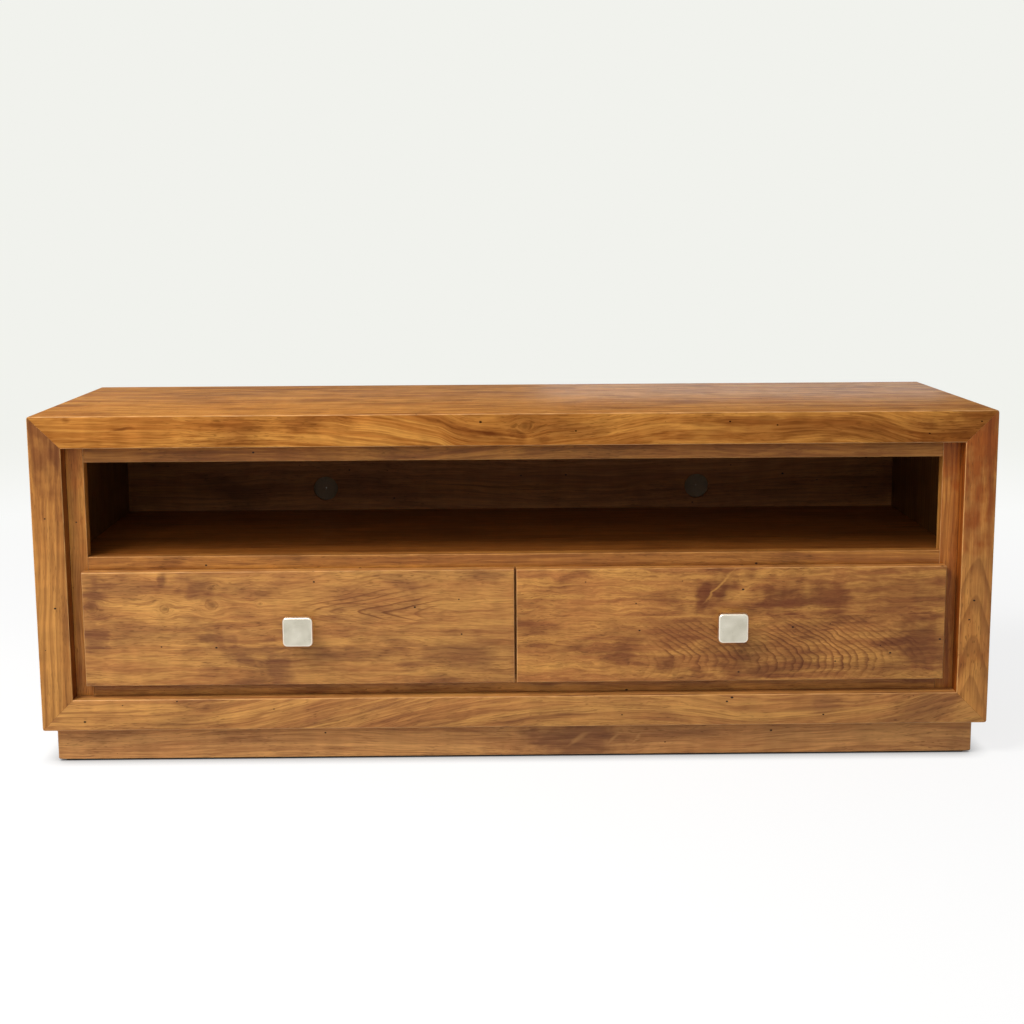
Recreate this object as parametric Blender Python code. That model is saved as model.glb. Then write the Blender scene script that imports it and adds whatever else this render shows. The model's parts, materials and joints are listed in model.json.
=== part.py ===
"""Entertainment center: a mitred plank case on a recessed plinth, an open bay above two drawers.

Metres, +Z up, the front looks towards -Y. The origin is on the floor, in the middle of the
whole footprint, which runs from the knob faces to the back edges of the case.
"""

import math

import bmesh
import bpy
from mathutils import Matrix, Vector

# Fits between pieces
FIT_GAP = 0.0003
CUT_OVERRUN = 0.004

# Case
CASE_WIDTH = 1.500
CASE_DEPTH = 0.500
CASE_HEIGHT = 0.500
PANEL_THICKNESS = 0.050
CORNER_ROUND = 0.004
EDGE_ROUND = 0.002
SPLINE_THICKNESS = 0.006
SPLINE_WIDTH = 0.024
SPLINE_STOP = 0.025

# Plinth
PLINTH_HEIGHT = 0.055
PLINTH_RECESS = 0.018
PLINTH_THICKNESS = 0.020
PLINTH_BLOCK_LEG = 0.060
FELT_THICKNESS = 0.003
FELT_INSET = 0.012

# Back panel
BACK_THICKNESS = 0.010
BACK_SETBACK = 0.022
BACK_HOUSING = 0.010
CABLE_HOLE_DIAMETER = 0.044
CABLE_HOLE_SPACING = 0.680
CABLE_HOLE_LIFT = 0.039

# Face frame
FRAME_RECESS = 0.027
FRAME_THICKNESS = 0.022
STILE_WIDTH = 0.028
TOP_RAIL_WIDTH = 0.025
MIDDLE_RAIL_WIDTH = 0.028
BOTTOM_RAIL_WIDTH = 0.028
MULLION_WIDTH = 0.024
TENON_LENGTH = 0.012
TENON_THICKNESS = 0.008
FRAME_EDGE_ROUND = 0.001

# Open bay and shelf
BAY_HEIGHT = 0.150
SHELF_THICKNESS = 0.020
SHELF_TONGUE = 0.010
PARTITION_HOUSING = 0.005

# Drawer fronts
FRONT_THICKNESS = 0.020
FRONT_OVERLAY = 0.007
FRONT_STANDOFF = 0.001
FRONT_GAP = 0.0034
FRONT_EDGE_ROUND = 0.002

# Drawer boxes
BOX_SIDE_THICKNESS = 0.012
BOX_END_THICKNESS = 0.014
BOX_CLEARANCE_BELOW = 0.010
BOX_CLEARANCE_ABOVE = 0.019
BOX_CLEARANCE_BEHIND = 0.022
BOX_BOTTOM_THICKNESS = 0.006
BOX_BOTTOM_LIFT = 0.010
BOX_GROOVE = 0.006
TAILS_PER_CORNER = 4
TAIL_SHARE = 0.52
TAIL_SLOPE = 1.0 / 6.0

# Drawer slides
SLIDE_SPACE = 0.013
SLIDE_HEIGHT = 0.045
SLIDE_GAUGE = 0.0012
SLIDE_RACE = 0.007
SLIDE_SETBACK = 0.002
PACKER_HEIGHT = 0.060

# Knobs
KNOB_SIZE = 0.047
KNOB_THICKNESS = 0.009
KNOB_PROJECTION = 0.028
KNOB_CORNER = 0.006
KNOB_RIM = 0.0016
KNOB_DISH = 0.0012
KNOB_STEM_DIAMETER = 0.016
KNOB_FOOT_DIAMETER = 0.021
SCREW_DIAMETER = 0.004
SCREW_HEAD_DIAMETER = 0.009
SCREW_HEAD_HEIGHT = 0.0026
SCREW_BITE = 0.012
ROUND_STEPS = 8

# Planes across the width
HALF_WIDTH = CASE_WIDTH / 2
INNER_HALF = HALF_WIDTH - PANEL_THICKNESS
OPENING_HALF = INNER_HALF - STILE_WIDTH
PARTITION_HALF = MULLION_WIDTH / 2

# Planes through the depth
FRONT_FACE_DEPTH = FRAME_RECESS - FRONT_STANDOFF - FRONT_THICKNESS
KNOB_OVERHANG = max(0.0, KNOB_PROJECTION - FRONT_FACE_DEPTH)
Y_CASE = (KNOB_OVERHANG - CASE_DEPTH) / 2
Y_REAR = Y_CASE + CASE_DEPTH
Y_FRONT = Y_CASE + FRONT_FACE_DEPTH
Y_FRAME = Y_CASE + FRAME_RECESS
Y_INSIDE = Y_FRAME + FRAME_THICKNESS
Y_BACK = Y_REAR - BACK_SETBACK - BACK_THICKNESS
Y_BOX = Y_FRONT + FRONT_THICKNESS + FIT_GAP
Y_BOX_END = Y_BACK - BOX_CLEARANCE_BEHIND
Y_SLIDE = Y_INSIDE + SLIDE_SETBACK

# Planes up the height
Z_BASE = PLINTH_HEIGHT
Z_TOP = Z_BASE + CASE_HEIGHT
Z_FLOOR = Z_BASE + PANEL_THICKNESS
Z_CEILING = Z_TOP - PANEL_THICKNESS
Z_BAY_TOP = Z_CEILING - TOP_RAIL_WIDTH
Z_SHELF = Z_BAY_TOP - BAY_HEIGHT
Z_SHELF_UNDER = Z_SHELF - SHELF_THICKNESS
Z_OPENING_TOP = Z_SHELF - MIDDLE_RAIL_WIDTH
Z_OPENING_LOW = Z_FLOOR + BOTTOM_RAIL_WIDTH
Z_BOX_LOW = Z_OPENING_LOW + BOX_CLEARANCE_BELOW
Z_BOX_TOP = Z_OPENING_TOP - BOX_CLEARANCE_ABOVE
Z_SLIDE = (Z_BOX_LOW + Z_BOX_TOP) / 2
Z_KNOB = (Z_OPENING_LOW + Z_OPENING_TOP) / 2


def clear_scene():
    """Remove whatever the scene starts with."""
    for obj in list(bpy.data.objects):
        bpy.data.objects.remove(obj, do_unlink=True)


def finish(name, colour, roughness, metallic=0.0):
    """A plain Principled finish."""
    material = bpy.data.materials.new(name)
    material.use_nodes = True
    shader = material.node_tree.nodes["Principled BSDF"]
    shader.inputs["Base Color"].default_value = (*colour, 1.0)
    shader.inputs["Roughness"].default_value = roughness
    shader.inputs["Metallic"].default_value = metallic
    return material


def make_object(name, bm, material, parent=None):
    """Turn a finished bmesh into a named object, hung on its parent if it has one."""
    bmesh.ops.recalc_face_normals(bm, faces=bm.faces)
    mesh = bpy.data.meshes.new(name)
    bm.to_mesh(mesh)
    bm.free()
    mesh.materials.append(material)
    obj = bpy.data.objects.new(name, mesh)
    bpy.context.scene.collection.objects.link(obj)
    if parent is not None:
        obj.parent = parent
        obj.matrix_parent_inverse = Matrix.Translation(-parent.location)
    return obj


def prism(name, outline, axis, start, end, material, parent=None):
    """Push a flat outline along X, Y or Z from start to end."""
    place = {
        "X": lambda p, t: (t, p[0], p[1]),
        "Y": lambda p, t: (p[0], t, p[1]),
        "Z": lambda p, t: (p[0], p[1], t),
    }[axis]
    bm = bmesh.new()
    near = [bm.verts.new(place(p, start)) for p in outline]
    far = [bm.verts.new(place(p, end)) for p in outline]
    bm.faces.new(near)
    bm.faces.new(list(reversed(far)))
    for i in range(len(outline)):
        j = (i + 1) % len(outline)
        bm.faces.new((near[i], far[i], far[j], near[j]))
    return make_object(name, bm, material, parent)


def rectangle(a, b):
    """Outline of a rectangle from its low side and high side on both of its axes."""
    return [(a[0], b[0]), (a[1], b[0]), (a[1], b[1]), (a[0], b[1])]


def box(name, x, y, z, material, parent=None):
    """A square-edged board between three pairs of planes."""
    return prism(name, rectangle(sorted(x), z), "Y", y[0], y[1], material, parent)


def ease(obj, size, near=(), far=(), along=()):
    """Round chosen edges of a prism.

    near and far number the outline sides at its two ends, along numbers the outline corners.
    """
    count = len(obj.data.vertices) // 2
    weights = obj.data.attributes.new("bevel_weight_edge", "FLOAT", "EDGE")
    for edge in obj.data.edges:
        low, high = sorted(edge.vertices)
        ring = {low % count, high % count}
        sides = far if low >= count else near
        if low < count <= high:
            chosen = low in along
        else:
            chosen = any(ring == {side, (side + 1) % count} for side in sides)
        weights.data[edge.index].value = float(chosen)
    bevel = obj.modifiers.new("eased_edges", "BEVEL")
    bevel.limit_method = "WEIGHT"
    bevel.width = size
    bevel.segments = 3


def loft(name, loops, centre, material, parent=None):
    """Skin a row of closed loops laid out as (depth, [(x, z), ...]) along Y, capped at both ends."""
    bm = bmesh.new()
    rings = []
    for depth, points in loops:
        rings.append([bm.verts.new((centre[0] + p[0], centre[1] + depth, centre[2] + p[1])) for p in points])
    for ring, following in zip(rings, rings[1:]):
        for i in range(len(ring)):
            j = (i + 1) % len(ring)
            bm.faces.new((ring[i], ring[j], following[j], following[i]))
    bm.faces.new(rings[0])
    bm.faces.new(list(reversed(rings[-1])))
    obj = make_object(name, bm, material, parent)
    obj.data.shade_smooth()
    obj.data.set_sharp_from_angle(angle=math.radians(35))
    return obj


def circle(radius):
    """Points round a circle, spread so that they pair with those of a rounded square."""
    count = 4 * ROUND_STEPS
    angles = [(i + 0.5) * math.tau / count for i in range(count)]
    return [(radius * math.cos(angle), radius * math.sin(angle)) for angle in angles]


def rounded_square(size, corner):
    """Points round a square with rounded corners."""
    reach = size / 2 - corner
    points = []
    for quarter in range(4):
        turn = quarter * math.pi / 2
        middle = Vector((math.copysign(reach, math.cos(turn + math.pi / 4)),
                         math.copysign(reach, math.sin(turn + math.pi / 4))))
        for i in range(ROUND_STEPS):
            angle = turn + i * math.pi / 2 / (ROUND_STEPS - 1)
            points.append((middle.x + corner * math.cos(angle), middle.y + corner * math.sin(angle)))
    return points


def as_cutter(obj):
    """Keep a cutting body out of the part."""
    obj.hide_render = True
    obj.display_type = "WIRE"
    return obj


def cut(obj, cutter):
    """Take a cutting body away from a piece."""
    boolean = obj.modifiers.new("cut_" + cutter.name, "BOOLEAN")
    boolean.operation = "DIFFERENCE"
    boolean.solver = "EXACT"
    boolean.object = cutter


def mitred_outline(length, thickness, corner):
    """Section of a board mitred at both ends, as (along, in from the outer face) points.

    The last two points are the inner face, the rest run along the rounded outer face.
    """
    half = length / 2
    slack = FIT_GAP / math.sqrt(2)
    last = math.pi / 4 - math.asin(slack / (corner * math.sqrt(2)))
    turn = [last * i / 2 for i in range(3)]
    arc = [(half - corner + corner * math.sin(t), corner - corner * math.cos(t)) for t in turn]
    outer = [(-a, b) for a, b in reversed(arc)] + arc
    inner = half - thickness - slack
    return outer + [(inner, thickness), (-inner, thickness)]


def outer_sides(outline):
    """Numbers of the outline sides that lie on the outer face."""
    return range(len(outline) - 3)


def inner_side(outline):
    """Number of the outline side that is the inner face."""
    return len(outline) - 2


def build_case(wood):
    """Top, bottom and two sides, mitred at the corners."""
    long = mitred_outline(CASE_WIDTH, PANEL_THICKNESS, CORNER_ROUND)
    tall = mitred_outline(CASE_HEIGHT, PANEL_THICKNESS, CORNER_ROUND)
    middle = (Z_BASE + Z_TOP) / 2
    sections = {
        "top_panel": [(a, Z_TOP - b) for a, b in long],
        "bottom_panel": [(a, Z_BASE + b) for a, b in long],
        "left_panel": [(-HALF_WIDTH + b, middle + a) for a, b in tall],
        "right_panel": [(HALF_WIDTH - b, middle + a) for a, b in tall],
    }
    panels = {}
    for name, section in sections.items():
        panel = prism(name, section, "Y", Y_CASE, Y_REAR, wood)
        outside = list(outer_sides(section))
        ease(panel, EDGE_ROUND, near=outside + [inner_side(section)], far=outside)
        panels[name] = panel
    return panels


def build_splines(panels, wood):
    """A loose tongue across each mitre, in slots that stop short of the front and the back."""
    for up, level, reach in (("top", Z_TOP, -1), ("bottom", Z_BASE, 1)):
        for side, sign in (("left", -1), ("right", 1)):
            centre = Vector((sign * (HALF_WIDTH - PANEL_THICKNESS / 2), level + reach * PANEL_THICKNESS / 2))
            across = Vector((sign, reach)).normalized()
            lengthwise = Vector((across.y, -across.x))
            name = f"{up}_{side}_spline"

            def section(grow):
                wide = lengthwise * (SPLINE_WIDTH / 2 + grow)
                thick = across * (SPLINE_THICKNESS / 2 + grow)
                corners = (wide + thick, wide - thick, -wide - thick, thick - wide)
                return [tuple(centre + corner) for corner in corners]

            start = Y_CASE + FRAME_RECESS + SPLINE_STOP
            end = Y_BACK - SPLINE_STOP
            prism(name, section(0.0), "Y", start, end, wood)
            slot = prism(f"slot_{name}", section(FIT_GAP), "Y", start - FIT_GAP, end + FIT_GAP, wood)
            as_cutter(slot)
            cut(panels[f"{up}_panel"], slot)
            cut(panels[f"{side}_panel"], slot)


def build_back(panels, wood):
    """The back panel in its rebate, with two round cable holes."""
    half = INNER_HALF + BACK_HOUSING
    low = Z_FLOOR - BACK_HOUSING
    high = Z_CEILING + BACK_HOUSING
    rebate = box("cut_back_rebate", (-half, half), (Y_BACK, Y_REAR + CUT_OVERRUN), (low, high), wood)
    as_cutter(rebate)
    for panel in panels.values():
        cut(panel, rebate)
    fit = FIT_GAP
    back = box("back_panel", (fit - half, half - fit), (Y_BACK + fit, Y_BACK + BACK_THICKNESS),
               (low + fit, high - fit), wood)
    for sign in (-1, 1):
        ring = circle(CABLE_HOLE_DIAMETER / 2)
        centre = (sign * CABLE_HOLE_SPACING / 2, Z_SHELF + CABLE_HOLE_LIFT)
        outline = [(centre[0] + p[0], centre[1] + p[1]) for p in ring]
        hole = prism(f"cut_cable_hole_{sign:+d}", outline, "Y", Y_BACK - CUT_OVERRUN, Y_REAR, wood)
        cut(back, as_cutter(hole))


def build_shelf(panels, wood):
    """Shelf on bare-faced tongues in the side panels, and the partition housed below it."""
    shoulder = INNER_HALF - FIT_GAP
    tip = INNER_HALF + SHELF_TONGUE - FIT_GAP
    ledge = Z_SHELF_UNDER + SHELF_THICKNESS / 2
    section = [(-tip, Z_SHELF_UNDER), (tip, Z_SHELF_UNDER), (tip, ledge), (shoulder, ledge),
               (shoulder, Z_SHELF), (-shoulder, Z_SHELF), (-shoulder, ledge), (-tip, ledge)]
    shelf = prism("shelf", section, "Y", Y_INSIDE + FIT_GAP, Y_BACK - FIT_GAP, wood)
    reach = INNER_HALF + SHELF_TONGUE
    groove = box("cut_shelf_groove", (-reach, reach), (Y_INSIDE, Y_BACK + CUT_OVERRUN),
                 (Z_SHELF_UNDER - FIT_GAP, ledge + FIT_GAP), wood)
    as_cutter(groove)
    cut(panels["left_panel"], groove)
    cut(panels["right_panel"], groove)

    low = Z_FLOOR - PARTITION_HOUSING
    high = Z_SHELF_UNDER + PARTITION_HOUSING
    box("partition", (-PARTITION_HALF, PARTITION_HALF), (Y_INSIDE + FIT_GAP, Y_BACK - FIT_GAP),
        (low + FIT_GAP, high - FIT_GAP), wood)
    wide = PARTITION_HALF + FIT_GAP
    housing = box("cut_partition_housing", (-wide, wide), (Y_INSIDE - CUT_OVERRUN, Y_BACK + CUT_OVERRUN),
                  (low, high), wood)
    as_cutter(housing)
    cut(shelf, housing)
    cut(panels["bottom_panel"], housing)

    for side, sign in (("left", -1), ("right", 1)):
        box(f"{side}_packer", (sign * OPENING_HALF, sign * (INNER_HALF - FIT_GAP)),
            (Y_INSIDE + FIT_GAP, Y_BOX_END), (Z_SLIDE - PACKER_HEIGHT / 2, Z_SLIDE + PACKER_HEIGHT / 2), wood)


def tenoned(low, high, length, grow=0.0):
    """Section of a frame member with a centred tenon at each end: (along, depth) points."""
    middle = Y_FRAME + FRAME_THICKNESS / 2
    front = middle - TENON_THICKNESS / 2 - grow
    rear = middle + TENON_THICKNESS / 2 + grow
    if grow:
        return rectangle((low - length - grow, high + length + grow), (front, rear))
    return [(low, Y_FRAME), (high, Y_FRAME), (high, front), (high + length, front), (high + length, rear),
            (high, rear), (high, Y_INSIDE), (low, Y_INSIDE), (low, rear), (low - length, rear),
            (low - length, front), (low, front)]


def build_frame(wood):
    """Face frame: two stiles, three rails and a mullion, with stub tenons."""
    stiles = []
    for side, sign in (("left", -1), ("right", 1)):
        section = rectangle(sorted((sign * OPENING_HALF, sign * (INNER_HALF - FIT_GAP))), (Y_FRAME, Y_INSIDE))
        stile = prism(f"{side}_stile", section, "Z", Z_FLOOR + FIT_GAP, Z_CEILING - FIT_GAP, wood)
        ease(stile, FRAME_EDGE_ROUND, along=(1,) if sign < 0 else (0,))
        stiles.append(stile)

    shoulder = OPENING_HALF - FIT_GAP
    rails = {
        "top_rail": (Z_BAY_TOP, Z_CEILING - FIT_GAP, 0.0, CUT_OVERRUN),
        "middle_rail": (Z_OPENING_TOP, Z_SHELF, FIT_GAP, FIT_GAP),
        "bottom_rail": (Z_FLOOR + FIT_GAP, Z_OPENING_LOW, CUT_OVERRUN, 0.0),
    }
    built = {}
    for name, (low, high, under, over) in rails.items():
        rail = prism(name, tenoned(-shoulder, shoulder, TENON_LENGTH), "Z", low, high, wood)
        ease(rail, FRAME_EDGE_ROUND, near=(0,), far=(0,))
        built[name] = rail
        under = max(under, FIT_GAP)
        over = max(over, FIT_GAP)
        mortise = prism(f"cut_{name}_mortise", tenoned(-shoulder, shoulder, TENON_LENGTH, FIT_GAP), "Z",
                        low - under, high + over, wood)
        as_cutter(mortise)
        for stile in stiles:
            cut(stile, mortise)

    low = Z_OPENING_LOW + FIT_GAP
    high = Z_OPENING_TOP - FIT_GAP
    upright = [(y, z) for z, y in tenoned(low, high, TENON_LENGTH)]
    prism("mullion", upright, "X", -PARTITION_HALF, PARTITION_HALF, wood)
    pocket = [(y, z) for z, y in tenoned(low, high, TENON_LENGTH, FIT_GAP)]
    mortise = prism("cut_mullion_mortise", pocket, "X", -PARTITION_HALF - FIT_GAP, PARTITION_HALF + FIT_GAP, wood)
    as_cutter(mortise)
    cut(built["middle_rail"], mortise)
    cut(built["bottom_rail"], mortise)


def build_plinth(wood, rough_wood, felt):
    """Recessed plinth: four mitred boards, corner blocks, a brace and two felt strips."""
    half = HALF_WIDTH - PLINTH_RECESS
    front = Y_CASE + PLINTH_RECESS
    rear = Y_REAR - PLINTH_RECESS
    middle = (front + rear) / 2
    low = FELT_THICKNESS
    high = PLINTH_HEIGHT - FIT_GAP
    long = mitred_outline(2 * half, PLINTH_THICKNESS, CORNER_ROUND)
    short = mitred_outline(rear - front, PLINTH_THICKNESS, CORNER_ROUND)
    sections = {
        "plinth_front": [(a, front + b) for a, b in long],
        "plinth_back": [(a, rear - b) for a, b in long],
        "plinth_left": [(-half + b, middle + a) for a, b in short],
        "plinth_right": [(half - b, middle + a) for a, b in short],
    }
    for name, section in sections.items():
        board = prism(name, section, "Z", low, high, wood)
        ease(board, EDGE_ROUND, near=outer_sides(section))

    inner = half - PLINTH_THICKNESS - FIT_GAP
    for end, wall, inwards in (("front", front + PLINTH_THICKNESS + FIT_GAP, 1),
                               ("back", rear - PLINTH_THICKNESS - FIT_GAP, -1)):
        for side, sign in (("left", -1), ("right", 1)):
            corner = (sign * inner, wall)
            triangle = [corner, (sign * (inner - PLINTH_BLOCK_LEG), wall),
                        (sign * inner, wall + inwards * PLINTH_BLOCK_LEG)]
            prism(f"plinth_block_{end}_{side}", triangle, "Z", low, high, rough_wood)
    box("plinth_brace", (-PLINTH_THICKNESS / 2, PLINTH_THICKNESS / 2),
        (front + PLINTH_THICKNESS + FIT_GAP, rear - PLINTH_THICKNESS - FIT_GAP), (low, high), rough_wood)

    strip = (FELT_INSET - half, half - FELT_INSET)
    margin = PLINTH_THICKNESS / 5
    for name, edge in (("front_felt", front), ("back_felt", rear - PLINTH_THICKNESS)):
        box(name, strip, (edge + margin, edge + PLINTH_THICKNESS - margin), (0.0, low - FIT_GAP), felt)


def slide_sections():
    """Sections of the three members of a slide, as (out from the case, up from its centre line) points."""
    half = SLIDE_HEIGHT / 2
    gauge = SLIDE_GAUGE
    lip = SLIDE_SPACE * 0.75
    web = SLIDE_SPACE * 0.42
    race_top = half - gauge - FIT_GAP
    race_low = race_top - SLIDE_RACE
    fixed = [(FIT_GAP, -half), (lip, -half), (lip, gauge - half), (FIT_GAP + gauge, gauge - half),
             (FIT_GAP + gauge, half - gauge), (lip, half - gauge), (lip, half), (FIT_GAP, half)]
    back = FIT_GAP + 2 * gauge
    middle = [(back, -race_top), (lip, -race_top), (lip, -race_low), (web + gauge, -race_low),
              (web + gauge, race_low), (lip, race_low), (lip, race_top), (back, race_top),
              (back, race_low), (web, race_low), (web, -race_low), (back, -race_low)]
    tall = race_low - FIT_GAP
    tip = web + gauge + FIT_GAP
    outer = SLIDE_SPACE - FIT_GAP
    moving = [(tip, -tall), (outer, -tall), (outer, tall), (tip, tall), (tip, tall - gauge),
              (outer - gauge, tall - gauge), (outer - gauge, gauge - tall), (tip, gauge - tall)]
    return {"cabinet": fixed, "middle": middle, "drawer": moving}


def side_outline(low, high, grow=0.0, overrun=0.0):
    """Drawer side seen from the end of the case, with dovetail tails at both ends: (y, z) points."""
    pitch = (high - low) / TAILS_PER_CORNER
    root = pitch * TAIL_SHARE / 2
    reach = overrun if overrun else FIT_GAP
    narrow = root + grow - TAIL_SLOPE * reach
    wide = root + grow + TAIL_SLOPE * (BOX_END_THICKNESS + overrun)
    ends = []
    for tip, inwards in ((Y_BOX, 1), (Y_BOX_END, -1)):
        base = tip + inwards * (BOX_END_THICKNESS + reach)
        edge = []
        for i in range(TAILS_PER_CORNER):
            centre = low + (i + 0.5) * pitch
            edge.append((base, centre - narrow))
            edge.append((tip - inwards * overrun, centre - wide))
            edge.append((tip - inwards * overrun, centre + wide))
            edge.append((base, centre + narrow))
        ends.append([(base, low - overrun)] + edge + [(base, high + overrun)])
    return ends[0] + list(reversed(ends[1]))


def build_box(side, sign, wood, sheet, parent):
    """Dovetailed drawer box with its bottom in grooves."""
    outer = OPENING_HALF - SLIDE_SPACE
    inner = PARTITION_HALF + SLIDE_SPACE
    low = Z_BOX_LOW
    high = Z_BOX_TOP
    ends = {}
    for name, start in (("front", Y_BOX), ("back", Y_BOX_END - BOX_END_THICKNESS)):
        ends[name] = box(f"{side}_box_{name}", (sign * outer, sign * inner), (start, start + BOX_END_THICKNESS),
                         (low, high), wood, parent)

    sides = []
    for name, face, inwards in (("outer", outer, -1), ("inner", inner, 1)):
        wall = face + inwards * BOX_SIDE_THICKNESS
        sides.append(prism(f"{side}_box_{name}_side", side_outline(low, high), "X", sign * face, sign * wall,
                           wood, parent))
        socket = prism(f"cut_{side}_{name}_tails", side_outline(low, high, FIT_GAP, CUT_OVERRUN), "X",
                       sign * (face - inwards * CUT_OVERRUN), sign * (wall + inwards * FIT_GAP), wood)
        as_cutter(socket)
        for end in ends.values():
            cut(end, socket)

    floor = low + BOX_BOTTOM_LIFT
    keep = BOX_SIDE_THICKNESS - BOX_GROOVE
    span = (sign * (outer - keep), sign * (inner + keep))
    slack = (span[0] + sign * FIT_GAP, span[1] - sign * FIT_GAP)
    start = Y_BOX + BOX_END_THICKNESS - BOX_GROOVE
    end = Y_BOX_END - BOX_END_THICKNESS + BOX_GROOVE
    box(f"{side}_box_bottom", span, (start, end), (floor, floor + BOX_BOTTOM_THICKNESS), sheet, parent)
    groove = box(f"cut_{side}_bottom_groove", slack, (start - FIT_GAP, end + FIT_GAP),
                 (floor - FIT_GAP, floor + BOX_BOTTOM_THICKNESS + FIT_GAP), wood)
    as_cutter(groove)
    for board in sides + list(ends.values()):
        cut(board, groove)
    return ends["front"]


def build_knob(side, centre, metal, steel, parent):
    """Square knob with a dished face on a round stem, and the screw that holds it from inside."""
    face = Y_FRONT - KNOB_PROJECTION
    foot = KNOB_PROJECTION - FIT_GAP
    soft = KNOB_RIM / 2
    bore = SCREW_DIAMETER / 2 + FIT_GAP
    field = KNOB_SIZE - 6 * KNOB_RIM
    loops = [
        (KNOB_DISH, rounded_square(field * 0.6, KNOB_CORNER * 0.6)),
        (KNOB_DISH * 0.8, rounded_square(field, KNOB_CORNER * 0.8)),
        (0.0, rounded_square(KNOB_SIZE - 3 * KNOB_RIM, KNOB_CORNER)),
        (0.0, rounded_square(KNOB_SIZE - KNOB_RIM, KNOB_CORNER)),
        (soft * 0.3, rounded_square(KNOB_SIZE - soft * 0.6, KNOB_CORNER)),
        (soft, rounded_square(KNOB_SIZE, KNOB_CORNER)),
        (KNOB_THICKNESS - soft, rounded_square(KNOB_SIZE, KNOB_CORNER)),
        (KNOB_THICKNESS, rounded_square(KNOB_SIZE - 2 * soft, KNOB_CORNER)),
        (KNOB_THICKNESS, circle(KNOB_STEM_DIAMETER / 2)),
        (foot - (KNOB_FOOT_DIAMETER - KNOB_STEM_DIAMETER), circle(KNOB_STEM_DIAMETER / 2)),
        (foot - KNOB_RIM, circle(KNOB_FOOT_DIAMETER / 2)),
        (foot, circle(KNOB_FOOT_DIAMETER / 2)),
        (foot, circle(bore)),
        (foot - SCREW_BITE - FIT_GAP, circle(bore)),
    ]
    loft(f"{side}_knob", loops, (centre[0], face, centre[1]), metal, parent)

    head = Y_BOX + BOX_END_THICKNESS + FIT_GAP
    tip = Y_FRONT - SCREW_BITE
    screw = [
        (0.0, circle(SCREW_DIAMETER * 0.35)),
        (SCREW_DIAMETER / 4, circle(SCREW_DIAMETER / 2)),
        (head - tip, circle(SCREW_DIAMETER / 2)),
        (head - tip, circle(SCREW_HEAD_DIAMETER / 2)),
        (head - tip + SCREW_HEAD_HEIGHT * 0.6, circle(SCREW_HEAD_DIAMETER / 2)),
        (head - tip + SCREW_HEAD_HEIGHT, circle(SCREW_HEAD_DIAMETER * 0.32)),
    ]
    loft(f"{side}_knob_screw", screw, (centre[0], tip, centre[1]), steel, parent)
    outline = [(centre[0] + p[0], centre[1] + p[1]) for p in circle(bore)]
    hole = prism(f"cut_{side}_screw_hole", outline, "Y", Y_FRONT - CUT_OVERRUN,
                 Y_BOX + BOX_END_THICKNESS + CUT_OVERRUN, steel)
    return as_cutter(hole)


def build_slides(side, sign, steel, carriage, drawer):
    """Three-part slides on both flanks of a drawer."""
    for member, section in slide_sections().items():
        parent = {"cabinet": None, "middle": carriage, "drawer": drawer}[member]
        for flank, face, inwards in (("outer", OPENING_HALF, -1), ("inner", PARTITION_HALF, 1)):
            outline = [(sign * (face + inwards * u), Z_SLIDE + v) for u, v in section]
            prism(f"{side}_{flank}_slide_{member}", outline, "Y", Y_SLIDE, Y_BOX_END, steel, parent)


def pivot(name, place):
    """An empty on the travel line of a moving group."""
    empty = bpy.data.objects.new(name, None)
    empty.location = place
    bpy.context.scene.collection.objects.link(empty)
    return empty


def build_drawer(side, sign, front_wood, box_wood, sheet, metal, steel):
    """One drawer: applied front, box, knob and slides."""
    near = FRONT_GAP / 2
    far = OPENING_HALF + FRONT_OVERLAY
    low = Z_OPENING_LOW - FRONT_OVERLAY
    high = Z_OPENING_TOP + FRONT_OVERLAY
    centre = (sign * (near + far) / 2, Z_KNOB)
    drawer = pivot(f"{side}_drawer_line", (centre[0], Y_FRONT, centre[1]))
    carriage = pivot(f"{side}_carriage_line", (centre[0], Y_SLIDE, Z_SLIDE))
    front = box(f"{side}_drawer_front", (sign * near, sign * far), (Y_FRONT, Y_FRONT + FRONT_THICKNESS),
                (low, high), front_wood, drawer)
    ease(front, FRONT_EDGE_ROUND, near=range(4))
    box_front = build_box(side, sign, box_wood, sheet, drawer)
    hole = build_knob(side, centre, metal, steel, drawer)
    cut(front, hole)
    cut(box_front, hole)
    build_slides(side, sign, steel, carriage, drawer)


def main():
    """Build every piece in place."""
    clear_scene()
    wood = finish("stained_wood", (0.32, 0.145, 0.045), 0.42)
    front_wood = finish("stained_front_wood", (0.36, 0.165, 0.05), 0.40)
    plinth_wood = finish("stained_plinth_wood", (0.27, 0.12, 0.04), 0.45)
    plain_wood = finish("plain_wood", (0.52, 0.34, 0.17), 0.55)
    sheet = finish("plywood", (0.58, 0.41, 0.24), 0.60)
    nickel = finish("satin_nickel", (0.62, 0.61, 0.58), 0.28, 1.0)
    zinc = finish("zinc_plated_steel", (0.60, 0.62, 0.64), 0.35, 1.0)
    felt = finish("dark_felt", (0.02, 0.018, 0.016), 0.95)

    panels = build_case(wood)
    build_splines(panels, plain_wood)
    build_back(panels, wood)
    build_shelf(panels, wood)
    build_frame(wood)
    build_plinth(plinth_wood, plain_wood, felt)
    for side, sign in (("left", -1), ("right", 1)):
        build_drawer(side, sign, front_wood, plain_wood, sheet, nickel, zinc)


main()
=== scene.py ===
"""Looks of the entertainment center: stained pine, satin nickel knobs and zinc slides in a pale studio."""

import json
import logging
import math
from abc import ABC, abstractmethod
from dataclasses import dataclass, field, replace
from enum import Enum
from typing import Any

import bmesh
import bpy
from mathutils import Matrix, Vector

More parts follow.
